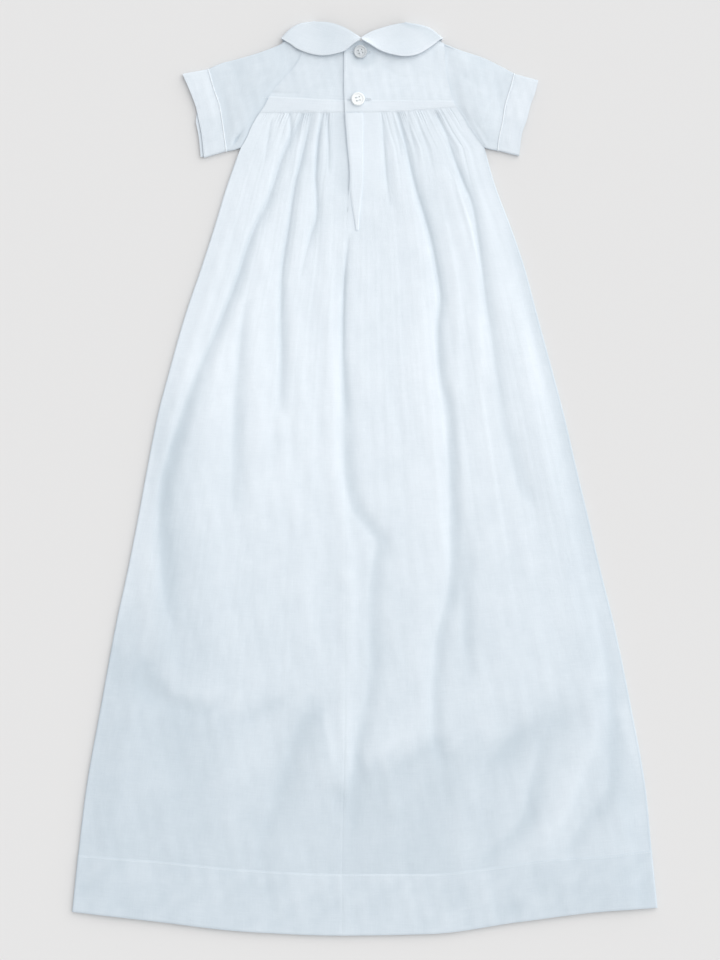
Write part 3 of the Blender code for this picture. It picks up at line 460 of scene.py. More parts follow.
def mesh_object(name, points, faces):
    """An object from an array of points in metres and an array of faces. Open borders are marked
    sharp, so that the rim of the wall doesn't shade the cloth beside it."""
    mesh = bpy.data.meshes.new(name)
    mesh.from_pydata(points, [], faces)
    mesh.polygons.foreach_set("use_smooth", np.ones(len(mesh.polygons), bool))
    edge_of_corner = np.empty(len(mesh.loops), np.int32)
    mesh.loops.foreach_get("edge_index", edge_of_corner)
    border = np.bincount(edge_of_corner, minlength=len(mesh.edges)) == 1
    mesh.attributes.new("sharp_edge", "BOOLEAN", "EDGE").data.foreach_set("value", border)
    made = bpy.data.objects.new(name, mesh)
    bpy.context.scene.collection.objects.link(made)
    return made


grids = {}


def cloth(name, x, y, z, thickness, tone=0.5, joined=False):
    """A cloth piece from three arrays in millimetres. The UV map is the length run along rows and
    columns of the middle, in metres. With joined, the last column meets the first."""
    points = np.stack([x, y, z], -1) * MM
    grids[name] = np.stack([x, y, z], -1), thickness
    rows, columns = x.shape
    across = np.concatenate([[0], np.cumsum(np.linalg.norm(np.diff(points, axis=1), axis=2).max(0))])
    up = np.concatenate([[0], np.cumsum(np.linalg.norm(np.diff(points, axis=0), axis=2).mean(1))])
    flat = np.stack(np.meshgrid(across, up), -1)
    faces = grid_faces(rows, columns)
    corners = flat.reshape(-1, 2)[faces.ravel()]
    shade = np.broadcast_to(tone, x.shape)
    if joined:
        points, shade = points[:, :-1], shade[:, :-1]
        faces = (faces // columns) * (columns - 1) + (faces % columns) % (columns - 1)
    made = mesh_object(name, points.reshape(-1, 3), faces)
    made.data.uv_layers.new(name="cloth").data.foreach_set("uv", corners.ravel())
    tones = made.data.attributes.new("tone", "FLOAT", "POINT")
    tones.data.foreach_set("value", shade.ravel().astype(np.float32))
    shell = made.modifiers.new("wall", "SOLIDIFY")
    shell.thickness, shell.offset = thickness * MM, 0.0
    print(f"{name}: {len(faces)} faces, {np.ptp(x):.0f} x {np.ptp(y):.0f} mm")
    return made


# %% A body panel as a grid
def panel(left, right, low, high, across, up, inset=(0.03, 0.03), gap=0.03):
    """Places of a panel's points. Shares across run from 0 to 1 between the side edges, and beyond
    that round the folded side; shares up run between the lower and upper seam. Both edges bend, so
    x and y are worked out from each other in a few rounds."""
    u, v = np.meshgrid(across, up)
    flat = np.clip(u, 0, 1)
    x, y = np.zeros_like(u), np.zeros_like(u)
    for _ in range(14):
        y = mix(low(x) + gap, high(x) - gap, v)
        x = mix(left(y) + inset[0], right(y) - inset[1], flat)
    return u, flat, x, y


def roll_side(u, flat, x, y, z, down):
    """Bend the points beyond the side through a quarter turn: x by r sin a, z by r (1 - cos a).
    Above the underarm the cloth runs on flat into the armhole seam."""
    turn = np.abs(u - flat)
    rolled = fade(UNDERARM_Y - 18, UNDERARM_Y - 2, y)
    angle = turn * math.pi / 2
    x = x + np.sign(u - flat) * ROLL * mix(turn, np.sin(angle), rolled)
    return x, z - down * rolled * ROLL * (1 - np.cos(angle))


LEFT_ROLL = -np.linspace(1, 0.2, 5)
RIGHT_ROLL = 1 + np.linspace(0.2, 1, 5)
SIDE_INSET = ROLL + 0.3
print("each folded side takes", len(LEFT_ROLL), "columns")

# %% [markdown]
# ## The back of the skirt
# The skirt is cut wide and drawn up on a thread at the waist seam, which makes the gathers. The
# left half has twelve large ones and the right half sixteen. Finer ticks sit right at the seam.

# %% Gathers, each with its depth and the length it runs down, in millimetres
GATHERS_LEFT = ((0.2, 26), (0.3, 30), (0.25, 34), (0.75, 40), (0.3, 30), (0.7, 52), (0.75, 60),
                (0.25, 34), (0.5, 44), (0.75, 56), (0.3, 30), (0.2, 26))
GATHERS_RIGHT = ((0.15, 26), (0.2, 30), (0.3, 34), (0.7, 56), (0.25, 30), (0.8, 64), (0.35, 36),
                 (0.5, 40), (0.25, 30), (0.45, 44), (0.2, 28), (0.3, 30), (0.3, 34), (0.75, 56),
                 (0.3, 32), (0.2, 26))
WAVE_SHARE, TICK_SHARE, TICK_DEPTH, TICKS_EACH = 0.3, 0.8, 0.42, 2.6


def gather_height(u, y, table, start, stop):
    """WAVE_SHARE times depth times sin(2 pi n) times exp(-(fall/run)^2), n counting the gathers from
    start to stop, with TICKS_EACH times finer ticks in the top 5 to 10 mm. Both waves are a little
    uneven, as n is bent by a slower sine."""
    place = (u - start) / (stop - start) * len(table)
    which = np.clip(place.astype(int), 0, len(table) - 1)
    depth, run = np.array(table)[which].transpose(2, 0, 1)
    inside = ease(0, 0.3, place) * ease(0, 0.3, len(table) - place)
    fall = np.maximum(WAIST_Y - y, 0)
    waves = depth * np.sin(2 * math.pi * (place + 0.12 * np.sin(5 * place))) * np.exp(-(fall / run) ** 2)
    patchy = 0.5 + 0.5 * np.sin(1.9 * place + 2)
    near_seam = np.exp(-(fall / (5 + 5 * patchy)) ** 2)
    ticks = TICK_DEPTH * patchy * np.sin(2 * math.pi * TICKS_EACH * place + 3 * np.sin(place)) * near_seam
    return (WAVE_SHARE * waves + TICK_SHARE * ticks) * inside


print("large gathers:", len(GATHERS_LEFT), "on the left,", len(GATHERS_RIGHT), "on the right")

# %% Whiteness of the skirt, with its painted light and shade
# Painted highlight for each millimetre of a ridge's height, and painted shade for each millimetre of a
# hollow's depth.
PAINTED_RIDGE_LIGHT, PAINTED_HOLLOW_SHADE = 0.17, 0.085         # whiteness for each millimetre of height and of depth
# Painted light by height on the gown: brightest a little above the middle, falling off towards the hem.
painted_light_curve = level_curve(((311, 0.66), (200, 0.72), (100, 0.76), (0, 0.66), (-80, 0.54), (-150, 0.44)))
bulge_line = level_curve(((-242, -150), (-190, -160), (-161, -188), (-120, -207), (-90, -205),
                          (-68, -193), (-38, -205), (-28, -246), (-16, -252), (8, -250), (57, -232),
                          (89, -235), (115, -231), (140, -202), (177, -181), (205, -190), (234, -260)))


def back_level(x, y):
    """Height of the back without its folds."""
    inward = ease(1, 30, x - left_side(y)) * ease(1, 30, right_side(y) - x)
    return WALL / 2 + lift(x, y) + 2 * ROLL + PUFF * inward * ease(0, 60, WAIST_Y - y)


def painted_shade_tone(z, x, y):
    """Share of whiteness, which is mostly painted light and shade. It follows a curve from waist to
    hem, painted light that falls off low down, and carries painted light on ridges and painted shade
    in hollows. The terms named left paint shade at mid height and at the low left border, and light
    at the upper left. Below the line where the cloth sags on to the front, low takes over: painted
    shade, lighter towards the right. The terms named right paint a shaded band beside the right
    fold, wider in its lower half, and a narrow one on the fold itself."""
    ridge = np.clip((z - back_level(x, y)) * PAINTED_RIDGE_LIGHT, -0.2, 0.3)
    shaded = np.maximum(ease(-300, -60, y), 0.6 * ease(90, 130, x))
    ridge = ridge + PAINTED_HOLLOW_SHADE * crease_parts(x, y, FOLDS)[1] * shaded
    left = 0.34 * fade(-175, -95, x) * ease(-190, -172, x) * fade(20, 110, y)
    left = left * ease(-200, -140, y)
    left = left + 0.2 * fade(-205, -175, x) * fade(-130, -90, y)
    left = left - 0.12 * fade(-80, -40, x) * ease(180, 240, y)
    low = 0.13 + 0.21 * ease(80, 170, x) + 0.06 * np.cos(x / 31 + 2.2)
    low = low + 0.15 * np.exp(-((x + 88) / 26) ** 2) * ease(-275, -240, y)
    sag = ease(-4, 24, y - bulge_line(x) + puckers(x, y) * 5)
    inside = right_side(y) - x
    beside = (0.14 + 0.12 * ease(0, 60, y)) * fade(2, 16, inside) * fade(160, 240, y)
    right = beside + 0.16 * fade(12, 50, inside) * fade(20, 90, y)
    on_fold = 0.27 * fade(1.5, 2.3, inside) * fade(295, WAIST_Y, y)
    right = right * ease(-140, -40, y) + on_fold
    return np.clip(mix(low, painted_light_curve(y) - left, sag) + ridge - right, 0, 1)


print("whiteness at the waist and low down:", float(painted_light_curve(WAIST_Y)), float(painted_light_curve(-150)))

# %% The two halves of the back skirt
skirt_rows = 1 - (1 - np.linspace(0, 1, 225)) ** 1.25


def hidden_edge(y):
    """The left half's closing edge: under the right half at the slit, at the centre seam below."""
    return placket(y) + 2.2 * ease(SLIT_END - 6, SLIT_END + 4, y)


u, flat, x, y = panel(left_side, hidden_edge, hem_line, strip_low,
                      np.concatenate([LEFT_ROLL, np.linspace(0, 1, 182)]), skirt_rows, (SIDE_INSET, -0.3))
z = back_height(x, y, UNDERLAP) + gather_height(flat, y, GATHERS_LEFT, 0.05, 0.93) * (1 - placket_zone(x, y))
tone = painted_shade_tone(z, x, y)
x, z = roll_side(u, flat, x, y, z, 1)
skirt_left = cloth("cloth_skirt_back_left", x, y, z, LAWN, tone)

u, flat, x, y = panel(placket, right_side, hem_line, strip_low,
                      np.concatenate([np.linspace(0, 1, 186), RIGHT_ROLL]), skirt_rows, (-0.3, SIDE_INSET))
z = back_height(x, y, OVERLAP) + gather_height(flat, y, GATHERS_RIGHT, 0.17, 0.96) * (1 - placket_zone(x, y))
tone = painted_shade_tone(z, x, y)
x, z = roll_side(u, flat, x, y, z, 1)
skirt_right = cloth("cloth_skirt_back_right", x, y, z, LAWN, tone)

# %% [markdown]
# ## Placket, front of the skirt and hem
# The slit in the skirt is bound: a folded strip lies along the right edge and another, under it,
# along the left. The front is one width, flat on the surface. The hem is a deep doubled band.

# %% Placket strips
STRIP_END = 211.0


def constant(value):
    """A function that gives the same value everywhere, for a straight edge."""
    return lambda at: np.full_like(at, value)


strip_left_edge, strip_right_edge = level_curve(STRIP_LEFT_EDGE), level_curve(STRIP_RIGHT_EDGE)
_, flat, x, y = panel(strip_left_edge, strip_right_edge, constant(STRIP_END), strip_low,
                      np.linspace(0, 1, 17), np.linspace(0, 1, 90), (0, 0))
rise = WALL / 2 + 0.3 * ease(0, 0.15, flat) * ease(0, 0.2, 1 - flat)
strip_over = cloth("cloth_placket_overlap", x, y, back_height(x, y, OVERLAP) + rise, LAWN, 0.85)
underlap_edge = constant(UNDERLAP_EDGE)
_, _, x, y = panel(lambda y: placket(y) + 2.6, underlap_edge, constant(SLIT_END - 3.0), strip_low,
                   np.linspace(0, 1, 15), np.linspace(0, 1, 50), (0, 0))
strip_under = cloth("cloth_placket_underlap", x, y, back_height(x, y, UNDERLAP), UNDER_STRIP, 0.7)

# %% Front of the skirt
u, flat, x, y = panel(left_side, right_side, hem_line, strip_low,
                      np.concatenate([LEFT_ROLL, np.linspace(0, 1, 190), RIGHT_ROLL]), np.linspace(0, 1, 150),
                      (SIDE_INSET, SIDE_INSET))
gathers = np.clip(gather_height(flat, y, GATHERS_LEFT + GATHERS_RIGHT, 0.04, 0.96), 0, 0.6) * 0.8
x, z = roll_side(u, flat, x, y, front_height(x, y) + gathers, -1)
skirt_front = cloth("cloth_skirt_front", x, y, z, LAWN, 0.45)

# %% The hem band
def hem_painted_shade(x, y):
    """The doubled hem's tone is kept low as painted shade, like the darker lower skirt. Puckers lighten it
    where they rise, as painted light, and a slow cosine varies it.
    """
    return np.clip(0.2 + 0.07 * puckers(x, y) + 0.06 * np.cos((x - 20) / 70), 0, 1)


def hem_panel(name, left, right, insets, columns, height, down):
    """One piece of the hem: a step of 0.4 mm below the hem line, and a lower edge that turns down
    by 0.45 mm over its last 1.3 mm."""
    rows = np.concatenate([[0, 0.008, 0.016, 0.024], np.linspace(0.04, 1, 44)])
    u, flat, x, y = panel(left, right, hem_edge, hem_line, columns, rows, insets)
    low = hem_edge(x)
    z = height(x, y) - 0.15 + 0.4 * ease(0, 2.2, hem_line(x) - y) - down * 0.45 * fade(0, 1.3, y - low)
    tone = hem_painted_shade(x, y)
    x, z = roll_side(u, flat, x, y, z, down)
    return cloth(name, x, y, z, DOUBLED, tone)


wide = np.linspace(0, 1, 150)
hem_left = hem_panel("cloth_hem_back_left", left_side, placket, (SIDE_INSET, -0.3),
                     np.concatenate([LEFT_ROLL, wide]), back_height, 1)
hem_right = hem_panel("cloth_hem_back_right", placket, right_side, (-0.3, SIDE_INSET),
                      np.concatenate([wide, RIGHT_ROLL]), back_height, 1)
hem_front = hem_panel("cloth_hem_front", left_side, right_side, (SIDE_INSET, SIDE_INSET),
                      np.concatenate([LEFT_ROLL, wide, RIGHT_ROLL]), front_height, -1)

# %% [markdown]
# ## Yoke and waist strip
# The yoke is cut in two halves at the back, which overlap where they button, and in one piece at
# the front. Below it runs a narrow doubled strip that the skirt hangs from.

# %% Yoke halves and front
YOKE_CREASES = (
    ("armhole pull left", 5, 0, ((-62, 346, -0.1), (-74, 333, -0.3), (-84, 320, -0.1))),
    ("neck pull left", 6, 0, ((-40, 352, 0.1), (-52, 340, 0.3), (-66, 331, 0.1))),
    ("strip pull left", 4, 0, ((-80, 328, -0.9), (-68, 327.5, -0.5), (-50, 326.5, 0.0))),
    ("button pull left", 7, 0, ((-28, 334, -0.2), (-40, 329, -0.1))),
    ("button pull right", 5, 0, ((6, 324, 0.1), (22, 327, 0.25), (44, 330, 0.1))),
    ("neck pull right", 6, 0, ((16, 350, -0.1), (30, 342, -0.25), (46, 338, 0.0))),
    ("armhole pull right", 4, 0, ((60, 356, 0.1), (62, 338, 0.3), (66, 326, 0.1))),
)
YOKE_FINER = 1.7                  # how much finer the puckers are here than on the skirt


def yoke_small(x, y):
    """Soft pulls and puckers of the yoke, and a rise of 0.05 mm along both armhole seams."""
    beside = np.minimum(x - arm_left(y), arm_right(y) - x)
    pulls = crease_sum(x, y, YOKE_CREASES) + 0.12 * puckers(x * YOKE_FINER, y * YOKE_FINER)
    return pulls + 0.05 * fade(0, 2.0, beside)


def shoulder(x, y):
    """How far back and front are drawn together along the shoulder seams."""
    seam = (x < -41) | (x > 34)
    return (ROLL - WALL / 2 - 0.15) * fade(0.6, 4.0, shoulder_back(x) - y) * seam


# Where the painted shadow of the collar lies on the yoke, and how deep it is.
NOTCH_X, NOTCH_Y, COLLAR_SHADOW_DEPTH = -1, 361, 0.35


def yoke(name, left, right, top, height, across, tone):
    """A yoke piece between the waist strip and the neckline. Its tone is deeper in a round spot below
    the notch where the collar halves meet, as a painted shadow of the collar: in full to 7 mm from
    the spot's middle, and fading to nothing at 15 mm. Puckers lighten the tone where they rise, as
    painted light."""
    _, _, x, y = panel(left, right, strip_top, top, np.linspace(0, 1, across), np.linspace(0, 1, 70))
    collar_shadow = fade(7, 15, np.hypot(x - NOTCH_X, y - NOTCH_Y))
    shade = tone + 0.05 * puckers(x * YOKE_FINER, y * YOKE_FINER) - COLLAR_SHADOW_DEPTH * collar_shadow
    return cloth(name, x, y, height(x, y), LAWN, shade)


# The left back half's tone, 0.52 against 0.66 on the right, is painted shade on the side away from the lamp.
yoke_left = yoke("cloth_yoke_back_left", arm_left, underlap_edge, shoulder_back,
                 lambda x, y: back_height(x, y, UNDERLAP) + yoke_small(x, y) - shoulder(x, y), 90, 0.52)
yoke_right = yoke("cloth_yoke_back_right", placket, arm_right, shoulder_back,
                  lambda x, y: back_height(x, y, OVERLAP) + yoke_small(x, y) - shoulder(x, y), 96, 0.66)
yoke_front = yoke("cloth_yoke_front", arm_left, arm_right, shoulder_front,
                  lambda x, y: WALL / 2 + lift(x, y) + shoulder(x, y), 150, 0.45)


# %% Waist strip
def waist_strip(name, left, right, height, across, tone):
    """The narrow doubled strip, a little proud of the cloth on both sides of it."""
    _, _, x, y = panel(left, right, strip_low, strip_top, np.linspace(0, 1, across), np.linspace(0, 1, 20))
    middle = ease(0, 2.0, y - strip_low(x)) * ease(0, 2.0, strip_top(x) - y)
    return cloth(name, x, y, height(x, y) - 0.12 + 0.36 * middle, WAIST_STRIP, tone)


waist_left = waist_strip("cloth_waist_strip_back_left", arm_left, underlap_edge,
                         lambda x, y: back_height(x, y, UNDERLAP) - 0.1 * placket_zone(x, y), 90, 0.85)
waist_right = waist_strip("cloth_waist_strip_back_right", placket, arm_right,
                          lambda x, y: back_height(x, y, OVERLAP), 96, 0.88)
waist_front = waist_strip("cloth_waist_strip_front", arm_left, arm_right,
                          lambda x, y: WALL / 2 + lift(x, y), 130, 0.6)

# %% [markdown]
# ## Sleeves and cuffs
# A sleeve lies flat as a tube: an upper and a lower layer, folded along the top and joined under
# the arm. One ring of stations goes round it, and the rings run from the armhole to the cuff.

# %% Rings round a flat tube
def ring(flats, turns):
    """Stations round the tube: which part it is on (0 upper, 1 under fold, 2 lower, 3 top fold),
    the share from top to bottom, and the angle round a fold in degrees."""
    share = np.linspace(0, 1, flats)
    angle = np.linspace(90, -90, turns + 1)[1:-1]
    part = np.concatenate([np.full(flats, 0), np.full(turns - 1, 1), np.full(flats, 2),
                           np.full(turns - 1, 3), [0]])
    place = np.concatenate([share, np.ones(turns - 1), share[::-1], np.zeros(turns - 1), [0]])
    bend = np.concatenate([np.full(flats, 90), angle, np.full(flats, -90), -angle, [90]])
    return part, place, bend


TUCK, CUFF_REACH, TUBE_FINER = 0.6, 35, 1.6


def tube(name, inner, outer, top, under, wall, puff, gaps, thickness, rows, tone, creases=(), peek=0.0):
    """A flat tube. Its layers fill the four lines inner, outer, top and under; at both folds the
    points go round a half circle of radius ROLL, away from the cloth. A sleeve dips by TUCK under
    the edge of the body. A cuff, which is shorter than CUFF_REACH, starts level with its sleeve;
    with peek, its lower layer shows. Creases change the tone with the height, as painted light on
    their ridges and painted shade in their hollows, and their deepest places get darker painted
    shade still. The top fold gets painted shade on the right half of the gown. A cuff gets a painted
    highlight on its upper half and painted shade on its lower half; the left sleeve gets painted
    shade in the lower half near its armhole."""
    field = patch(trace(inner), trace(outer), trace(top), trace(under))
    part, place, bend = ring(72, 9)
    reach = float(np.linalg.norm(field(0.5, 1.0) - field(0.5, 0.0)))
    s = np.linspace(0, 1, rows)[:, None]
    along = mix(gaps[0] / reach, 1 - gaps[1] / reach, s) + 0 * place
    width = np.linalg.norm(field(np.ones_like(along), along) - field(0 * along, along), axis=-1)
    trim = (ROLL + wall / 2) / width
    share = mix(trim, 1 - trim, place)
    spot = field(share, along)
    beyond = field(np.where(part == 3, 0.02, 0.98) + 0 * along, along)
    ends = field(np.where(part == 3, 0.0, 1.0) + 0 * along, along)
    away = ends - beyond
    away /= np.linalg.norm(away, axis=-1, keepdims=True)
    fold = np.isin(part, (1, 3))
    spot = spot + away * (fold * ROLL * np.cos(np.radians(bend)))[None, :, None]
    lower = part == 2
    outward = field(share, np.ones_like(along)) - field(share, np.zeros_like(along))
    outward /= np.linalg.norm(outward, axis=-1, keepdims=True)
    spot = spot + outward * (peek * ease(0.42, 0.6, place) * lower * s * s)[..., None]
    x, y = spot[..., 0], spot[..., 1]
    bulge = puff * np.sin(math.pi * place) * np.sin(math.pi * s) ** 2
    from_seam = along * reach - gaps[0]
    upper = part == 0
    pulled, fine = crease_sum(x, y, creases), puckers(x * TUBE_FINER, y * TUBE_FINER)
    uneven = (pulled + 0.14 * fine) * ease(0, 0.08, place * (1 - place))
    if reach < CUFF_REACH:
        seam = -0.3 * fade(0, 2.5, from_seam) * upper
        seam = seam + peek * 0.45 * lower * ease(0.45, 0.6, place) * ease(0.75, 1, s)
        # Painted highlight on the cuff's upper half and painted shade on its lower half.
        painted_shading = 0.14 * fade(0.5, 0.62, place) - 0.04
    else:
        seam = -TUCK * fade(0.8, 11.0, from_seam) * upper
        # Painted shade near the armhole, in the lower half of the left sleeve.
        painted_shading = -0.12 * fade(0.2, 0.6, s) * ease(0.25, 0.55, place) * (x < 0)
    z = wall / 2 + lift(x, y) + ROLL + ROLL * np.sin(np.radians(bend)) + upper * (bulge + uneven) + seam
    # Tone: puckers and creases lighten it where they rise, as painted light, and darken it in hollows and
    # most in the pits, as painted shade; the right top fold gets painted shade.
    shade = tone + 0.05 * fine + 0.06 * pulled - 0.7 * np.clip(-0.6 - pulled, 0, 1)
    shade = shade - 0.3 * (part == 3) * (x > 0) + painted_shading
    return cloth(name, x, y, z, thickness, np.clip(shade, 0, 1), joined=True)


# %% Sleeves
SLEEVE_CREASES = (
    ("left cap", 7, 0, ((-62, 362, 0.2), (-78, 352, 0.6), (-96, 346, 0.3))),
    ("left middle", 6, 0, ((-74, 344, -0.2), (-90, 332, -0.6), (-104, 322, -0.3))),
    ("left arm", 6, 0, ((-90, 322, 0.3), (-100, 312, 0.7), (-112, 306, 0.2))),
    ("left pit", 3.5, 0, ((-104, 296, -0.4), (-109, 289, -1.9), (-112, 284, -1.2))),
    ("left pit ridge", 4, 0, ((-110, 300, 0.2), (-113, 290, 0.7), (-114, 283, 0.5))),
    ("right cap", 7, 0, ((76, 360, 0.1), (92, 352, 0.4), (108, 346, 0.2))),
    ("right middle", 6, 0, ((78, 346, -0.2), (92, 336, -0.25), (106, 330, -0.1))),
    ("right arm", 6, 0, ((84, 326, 0.1), (96, 314, 0.3), (108, 304, 0.1))),
    ("right pit", 6, 0, ((92, 304, -0.2), (100, 294, -0.4), (104, 286, -0.3))),
    ("right cuff pull", 5, 0, ((112, 326, -0.2), (104, 312, -0.3), (100, 300, -0.1))),
)
SLEEVE_PUFF, SLEEVE_ROWS = 1.4, 64


def armhole(edge, shoulder_y):
    """Forty points down an armhole, evenly spaced in y from the shoulder to the underarm."""
    ys = np.linspace(shoulder_y, UNDERARM_Y, 40)
    return np.stack([edge(ys), ys], -1)


# The left sleeve's tone, 0.41 against 0.53 on the right, is painted shade on the side away from the lamp.
sleeve_left = tube("cloth_sleeve_left", armhole(arm_left, 379), CUFF_LEFT, TOP_LEFT, UNDER_LEFT,
                   WALL, SLEEVE_PUFF, (-1.0, 0.0), LAWN, SLEEVE_ROWS, 0.41, SLEEVE_CREASES)
sleeve_right = tube("cloth_sleeve_right", armhole(arm_right, 370), CUFF_RIGHT, TOP_RIGHT, UNDER_RIGHT,
                    WALL, SLEEVE_PUFF, (-0.3, 0.0), LAWN, SLEEVE_ROWS, 0.53, SLEEVE_CREASES)


# %% Cuffs
def cuff(name, inner, outer, tone, peek):
    """A cuff between its seam and its edge; their ends give the lines at the top and the bottom."""
    return tube(name, inner, outer, (inner[0], outer[0]), (inner[-1], outer[-1]),
                BAND_WALL, 0.3, (0.03, 0.0), CUFF, 28, tone, peek=peek)


cuff_left = cuff("cloth_cuff_left", CUFF_LEFT, EDGE_LEFT, 0.78, 2.8)
cuff_right = cuff("cloth_cuff_right", CUFF_RIGHT, EDGE_RIGHT, 0.8, 0.0)

# %% [markdown]
# ## The collar
# Each half runs from the centre back round the shoulder fold to the centre front. It is doubled
# cloth with a rolled outer edge that stands a little off the yoke, so it throws a firm shadow.

# %% Collar lines
NECK_BACK_LEFT = ((-3.7, 374.4), (-17, 382.9), (-30, 387.2), (-42.5, 388.5))
OUTER_BACK_LEFT = ((-4.2, 372.6), (-9.4, 369.3), (-17, 363.4), (-24.6, 360.8), (-35.7, 359.1),
                   (-46.7, 360.8), (-57, 364.7), (-63.7, 369.3), (-71.5, 374.4))
FOLD_LEFT = ((-42.5, 388.5), (-55, 387), (-64, 382), (-71.5, 374.4))
NECK_FRONT_LEFT = ((-42.5, 388.5), (-37, 373), (-25, 361.5), (-12, 357.5), (-4, 356.5))
OUTER_FRONT_LEFT = ((-71.5, 374.4), (-69, 359), (-59, 340), (-43, 330), (-24, 328.5), (-10, 337),
                    (-4.2, 354.5))
NECK_BACK_RIGHT = ((-3.1, 374.4), (5.1, 379.5), (21.3, 384.8), (34, 387.6))
OUTER_BACK_RIGHT = ((-2.6, 372.6), (3.4, 369), (13.3, 363), (23, 359.8), (33.8, 358.3), (44.7, 360.2),
                    (54.4, 365.6), (63, 372.2), (66.3, 374.4))
FOLD_RIGHT = ((34, 387.6), (45, 386.2), (55.3, 382.9), (66.3, 374.4))
NECK_FRONT_RIGHT = ((34, 387.6), (29.5, 373), (18, 361.5), (5, 357.5), (-2.8, 356.5))
OUTER_FRONT_RIGHT = ((66.3, 374.4), (63, 359), (52, 340), (36, 330), (17, 328.5), (3.2, 337),
                     (-2.6, 354.5))
COLLAR_WALL, COLLAR_BACK_Z, COLLAR_CURL = 1.2, 6.3, 1.5
FOLD_REACH, FOLD_INSET = 1.4, 0.4
print("the collar rolls from", COLLAR_BACK_Z, "mm down to the surface")


# %% The two collar halves
def collar(name, neck_back, outer_back, fold, neck_front, outer_front, hand, stand):
    """A collar half: a filled patch on the back, a half turn of radius r about the fold line moved
    in, and a filled patch below. The turn is flattened sideways to FOLD_REACH. From the neck to the
    outer edge, t, the back rises by COLLAR_CURL t^2, by stand times t, by slow waves and at the
    tip, and less near the fold. The outer edge turns down over the last millimetre."""
    radius = (COLLAR_BACK_Z - COLLAR_WALL / 2) / 2
    crease = trace(fold)

    def away(t):
        """Unit direction out of the fold: the run of the line turned by a right angle."""
        run = crease(np.minimum(t + 0.04, 1)) - crease(np.maximum(t - 0.04, 0))
        run /= np.linalg.norm(run, axis=-1, keepdims=True)
        return np.stack([run[..., 1], -run[..., 0]], -1) * hand

    def reach(t):
        """Half width of the roll: narrow at the neck and full from about a fifth of the fold."""
        return FOLD_REACH * ease(-0.02, 0.22, t)

    def inner(t):
        """The fold line moved in by the reach and a small inset."""
        return crease(t) - away(t) * (FOLD_INSET + reach(t))[..., None]

    def drawn_in(line, at_end, t):
        """A line whose last or first point is put on the inner line, at share t."""
        points = np.array(line, float)
        points[-1 if at_end else 0] = inner(np.array(t))
        return trace(points)

    def straight(first, last):
        """The straight line between two points, by share."""
        return lambda t: mix(np.array(first, float), np.array(last, float), np.asarray(t)[..., None])

    back = patch(drawn_in(neck_back, True, 0.0), drawn_in(outer_back, True, 1.0),
                 straight(neck_back[0], outer_back[0]), inner)
    front = patch(drawn_in(neck_front, False, 0.0), drawn_in(outer_front, False, 1.0), inner,
                  straight(neck_front[-1], outer_front[-1]))
    t = np.concatenate([[0, 0.02, 0.04], np.linspace(0.07, 0.93, 34), [0.95, 0.965, 0.98, 0.99, 1.0]])
    t = t[:, None]
    s = np.linspace(0, 1, 90)
    a = np.linspace(90, -90, 18)[1:-1]
    top, low, bend = back(s + 0 * t, t + 0 * s), front(s + 0 * t, t + 0 * s), t + 0 * a
    turn = inner(bend) + away(bend) * (reach(bend) * np.cos(np.radians(a)))[..., None]
    wave = 0.22 * np.sin(7 * s + hand) * t + 0.15 * np.cos(13 * s) * t * t
    tip = 0.6 * np.exp(-(s / 0.22) ** 2) * t
    rise = COLLAR_BACK_Z + (COLLAR_CURL * t * t + wave + tip + stand * t) * (1 - s ** 3)
    rise = rise - 0.5 * ease(0.965, 1.0, t) * (1 - s ** 8) - 0.25 * fade(0.0, 0.10, t) * (1 - s ** 8)
    z = np.concatenate([rise, COLLAR_WALL / 2 + radius * (1 + np.sin(np.radians(a))) + 0 * t,
                        COLLAR_WALL / 2 + 0 * t * s], 1)
    spot = np.concatenate([top, turn, low], 1)
    # Tone: a painted highlight along the rolled outer edge, painted shade on the left half against the right,
    # and painted shade by the fold on the right half; a slow cosine varies it.
    shade = 0.72 + 0.3 * ease(0.93, 1.0, t) + 0.08 * np.cos(spot[..., 0] / 9) - 0.08 * hand
    painted_fold_shade = np.concatenate([ease(0.8, 1.0, s), 1 + 0 * a, 0 * s])
    shade = shade - 0.5 * (hand < 0) * painted_fold_shade * (1 - 0.5 * t)
    return cloth(name, spot[..., 0], spot[..., 1], z, DOUBLED, np.clip(shade, 0, 1))


collar_left = collar("cloth_collar_left", NECK_BACK_LEFT, OUTER_BACK_LEFT, FOLD_LEFT, NECK_FRONT_LEFT,
                     OUTER_FRONT_LEFT, 1, 0.4)
collar_right = collar("cloth_collar_right", NECK_BACK_RIGHT, OUTER_BACK_RIGHT, FOLD_RIGHT, NECK_FRONT_RIGHT,
                      OUTER_FRONT_RIGHT, -1, 1.6)

# %% [markdown]
# ## Stitches, piping and buttonholes
# Machine stitches are short humps of thread that dip into the cloth at both ends. They lie 1 to
# 2 mm inside each finished edge. All of them are one small tube, copied along lines that are read
# off the cloth grids, so the thread follows every fold.

# %% Lines on the cloth
def on_cloth(name, rows, columns, out=0.0, side=1):
    """Points and unit normals along some rows and columns of a cloth grid, on its outer face. The
    normal is the cross product of the two grid directions."""
    points, thickness = grids[name]
    across = np.gradient(points, axis=1)
    up = np.gradient(points, axis=0)
    normal = np.cross(across, up)
    normal /= np.linalg.norm(normal, axis=-1, keepdims=True) + 1e-9
    spot = points[rows, columns] + normal[rows, columns] * side * (thickness / 2 + out)
    return spot, normal[rows, columns] * side


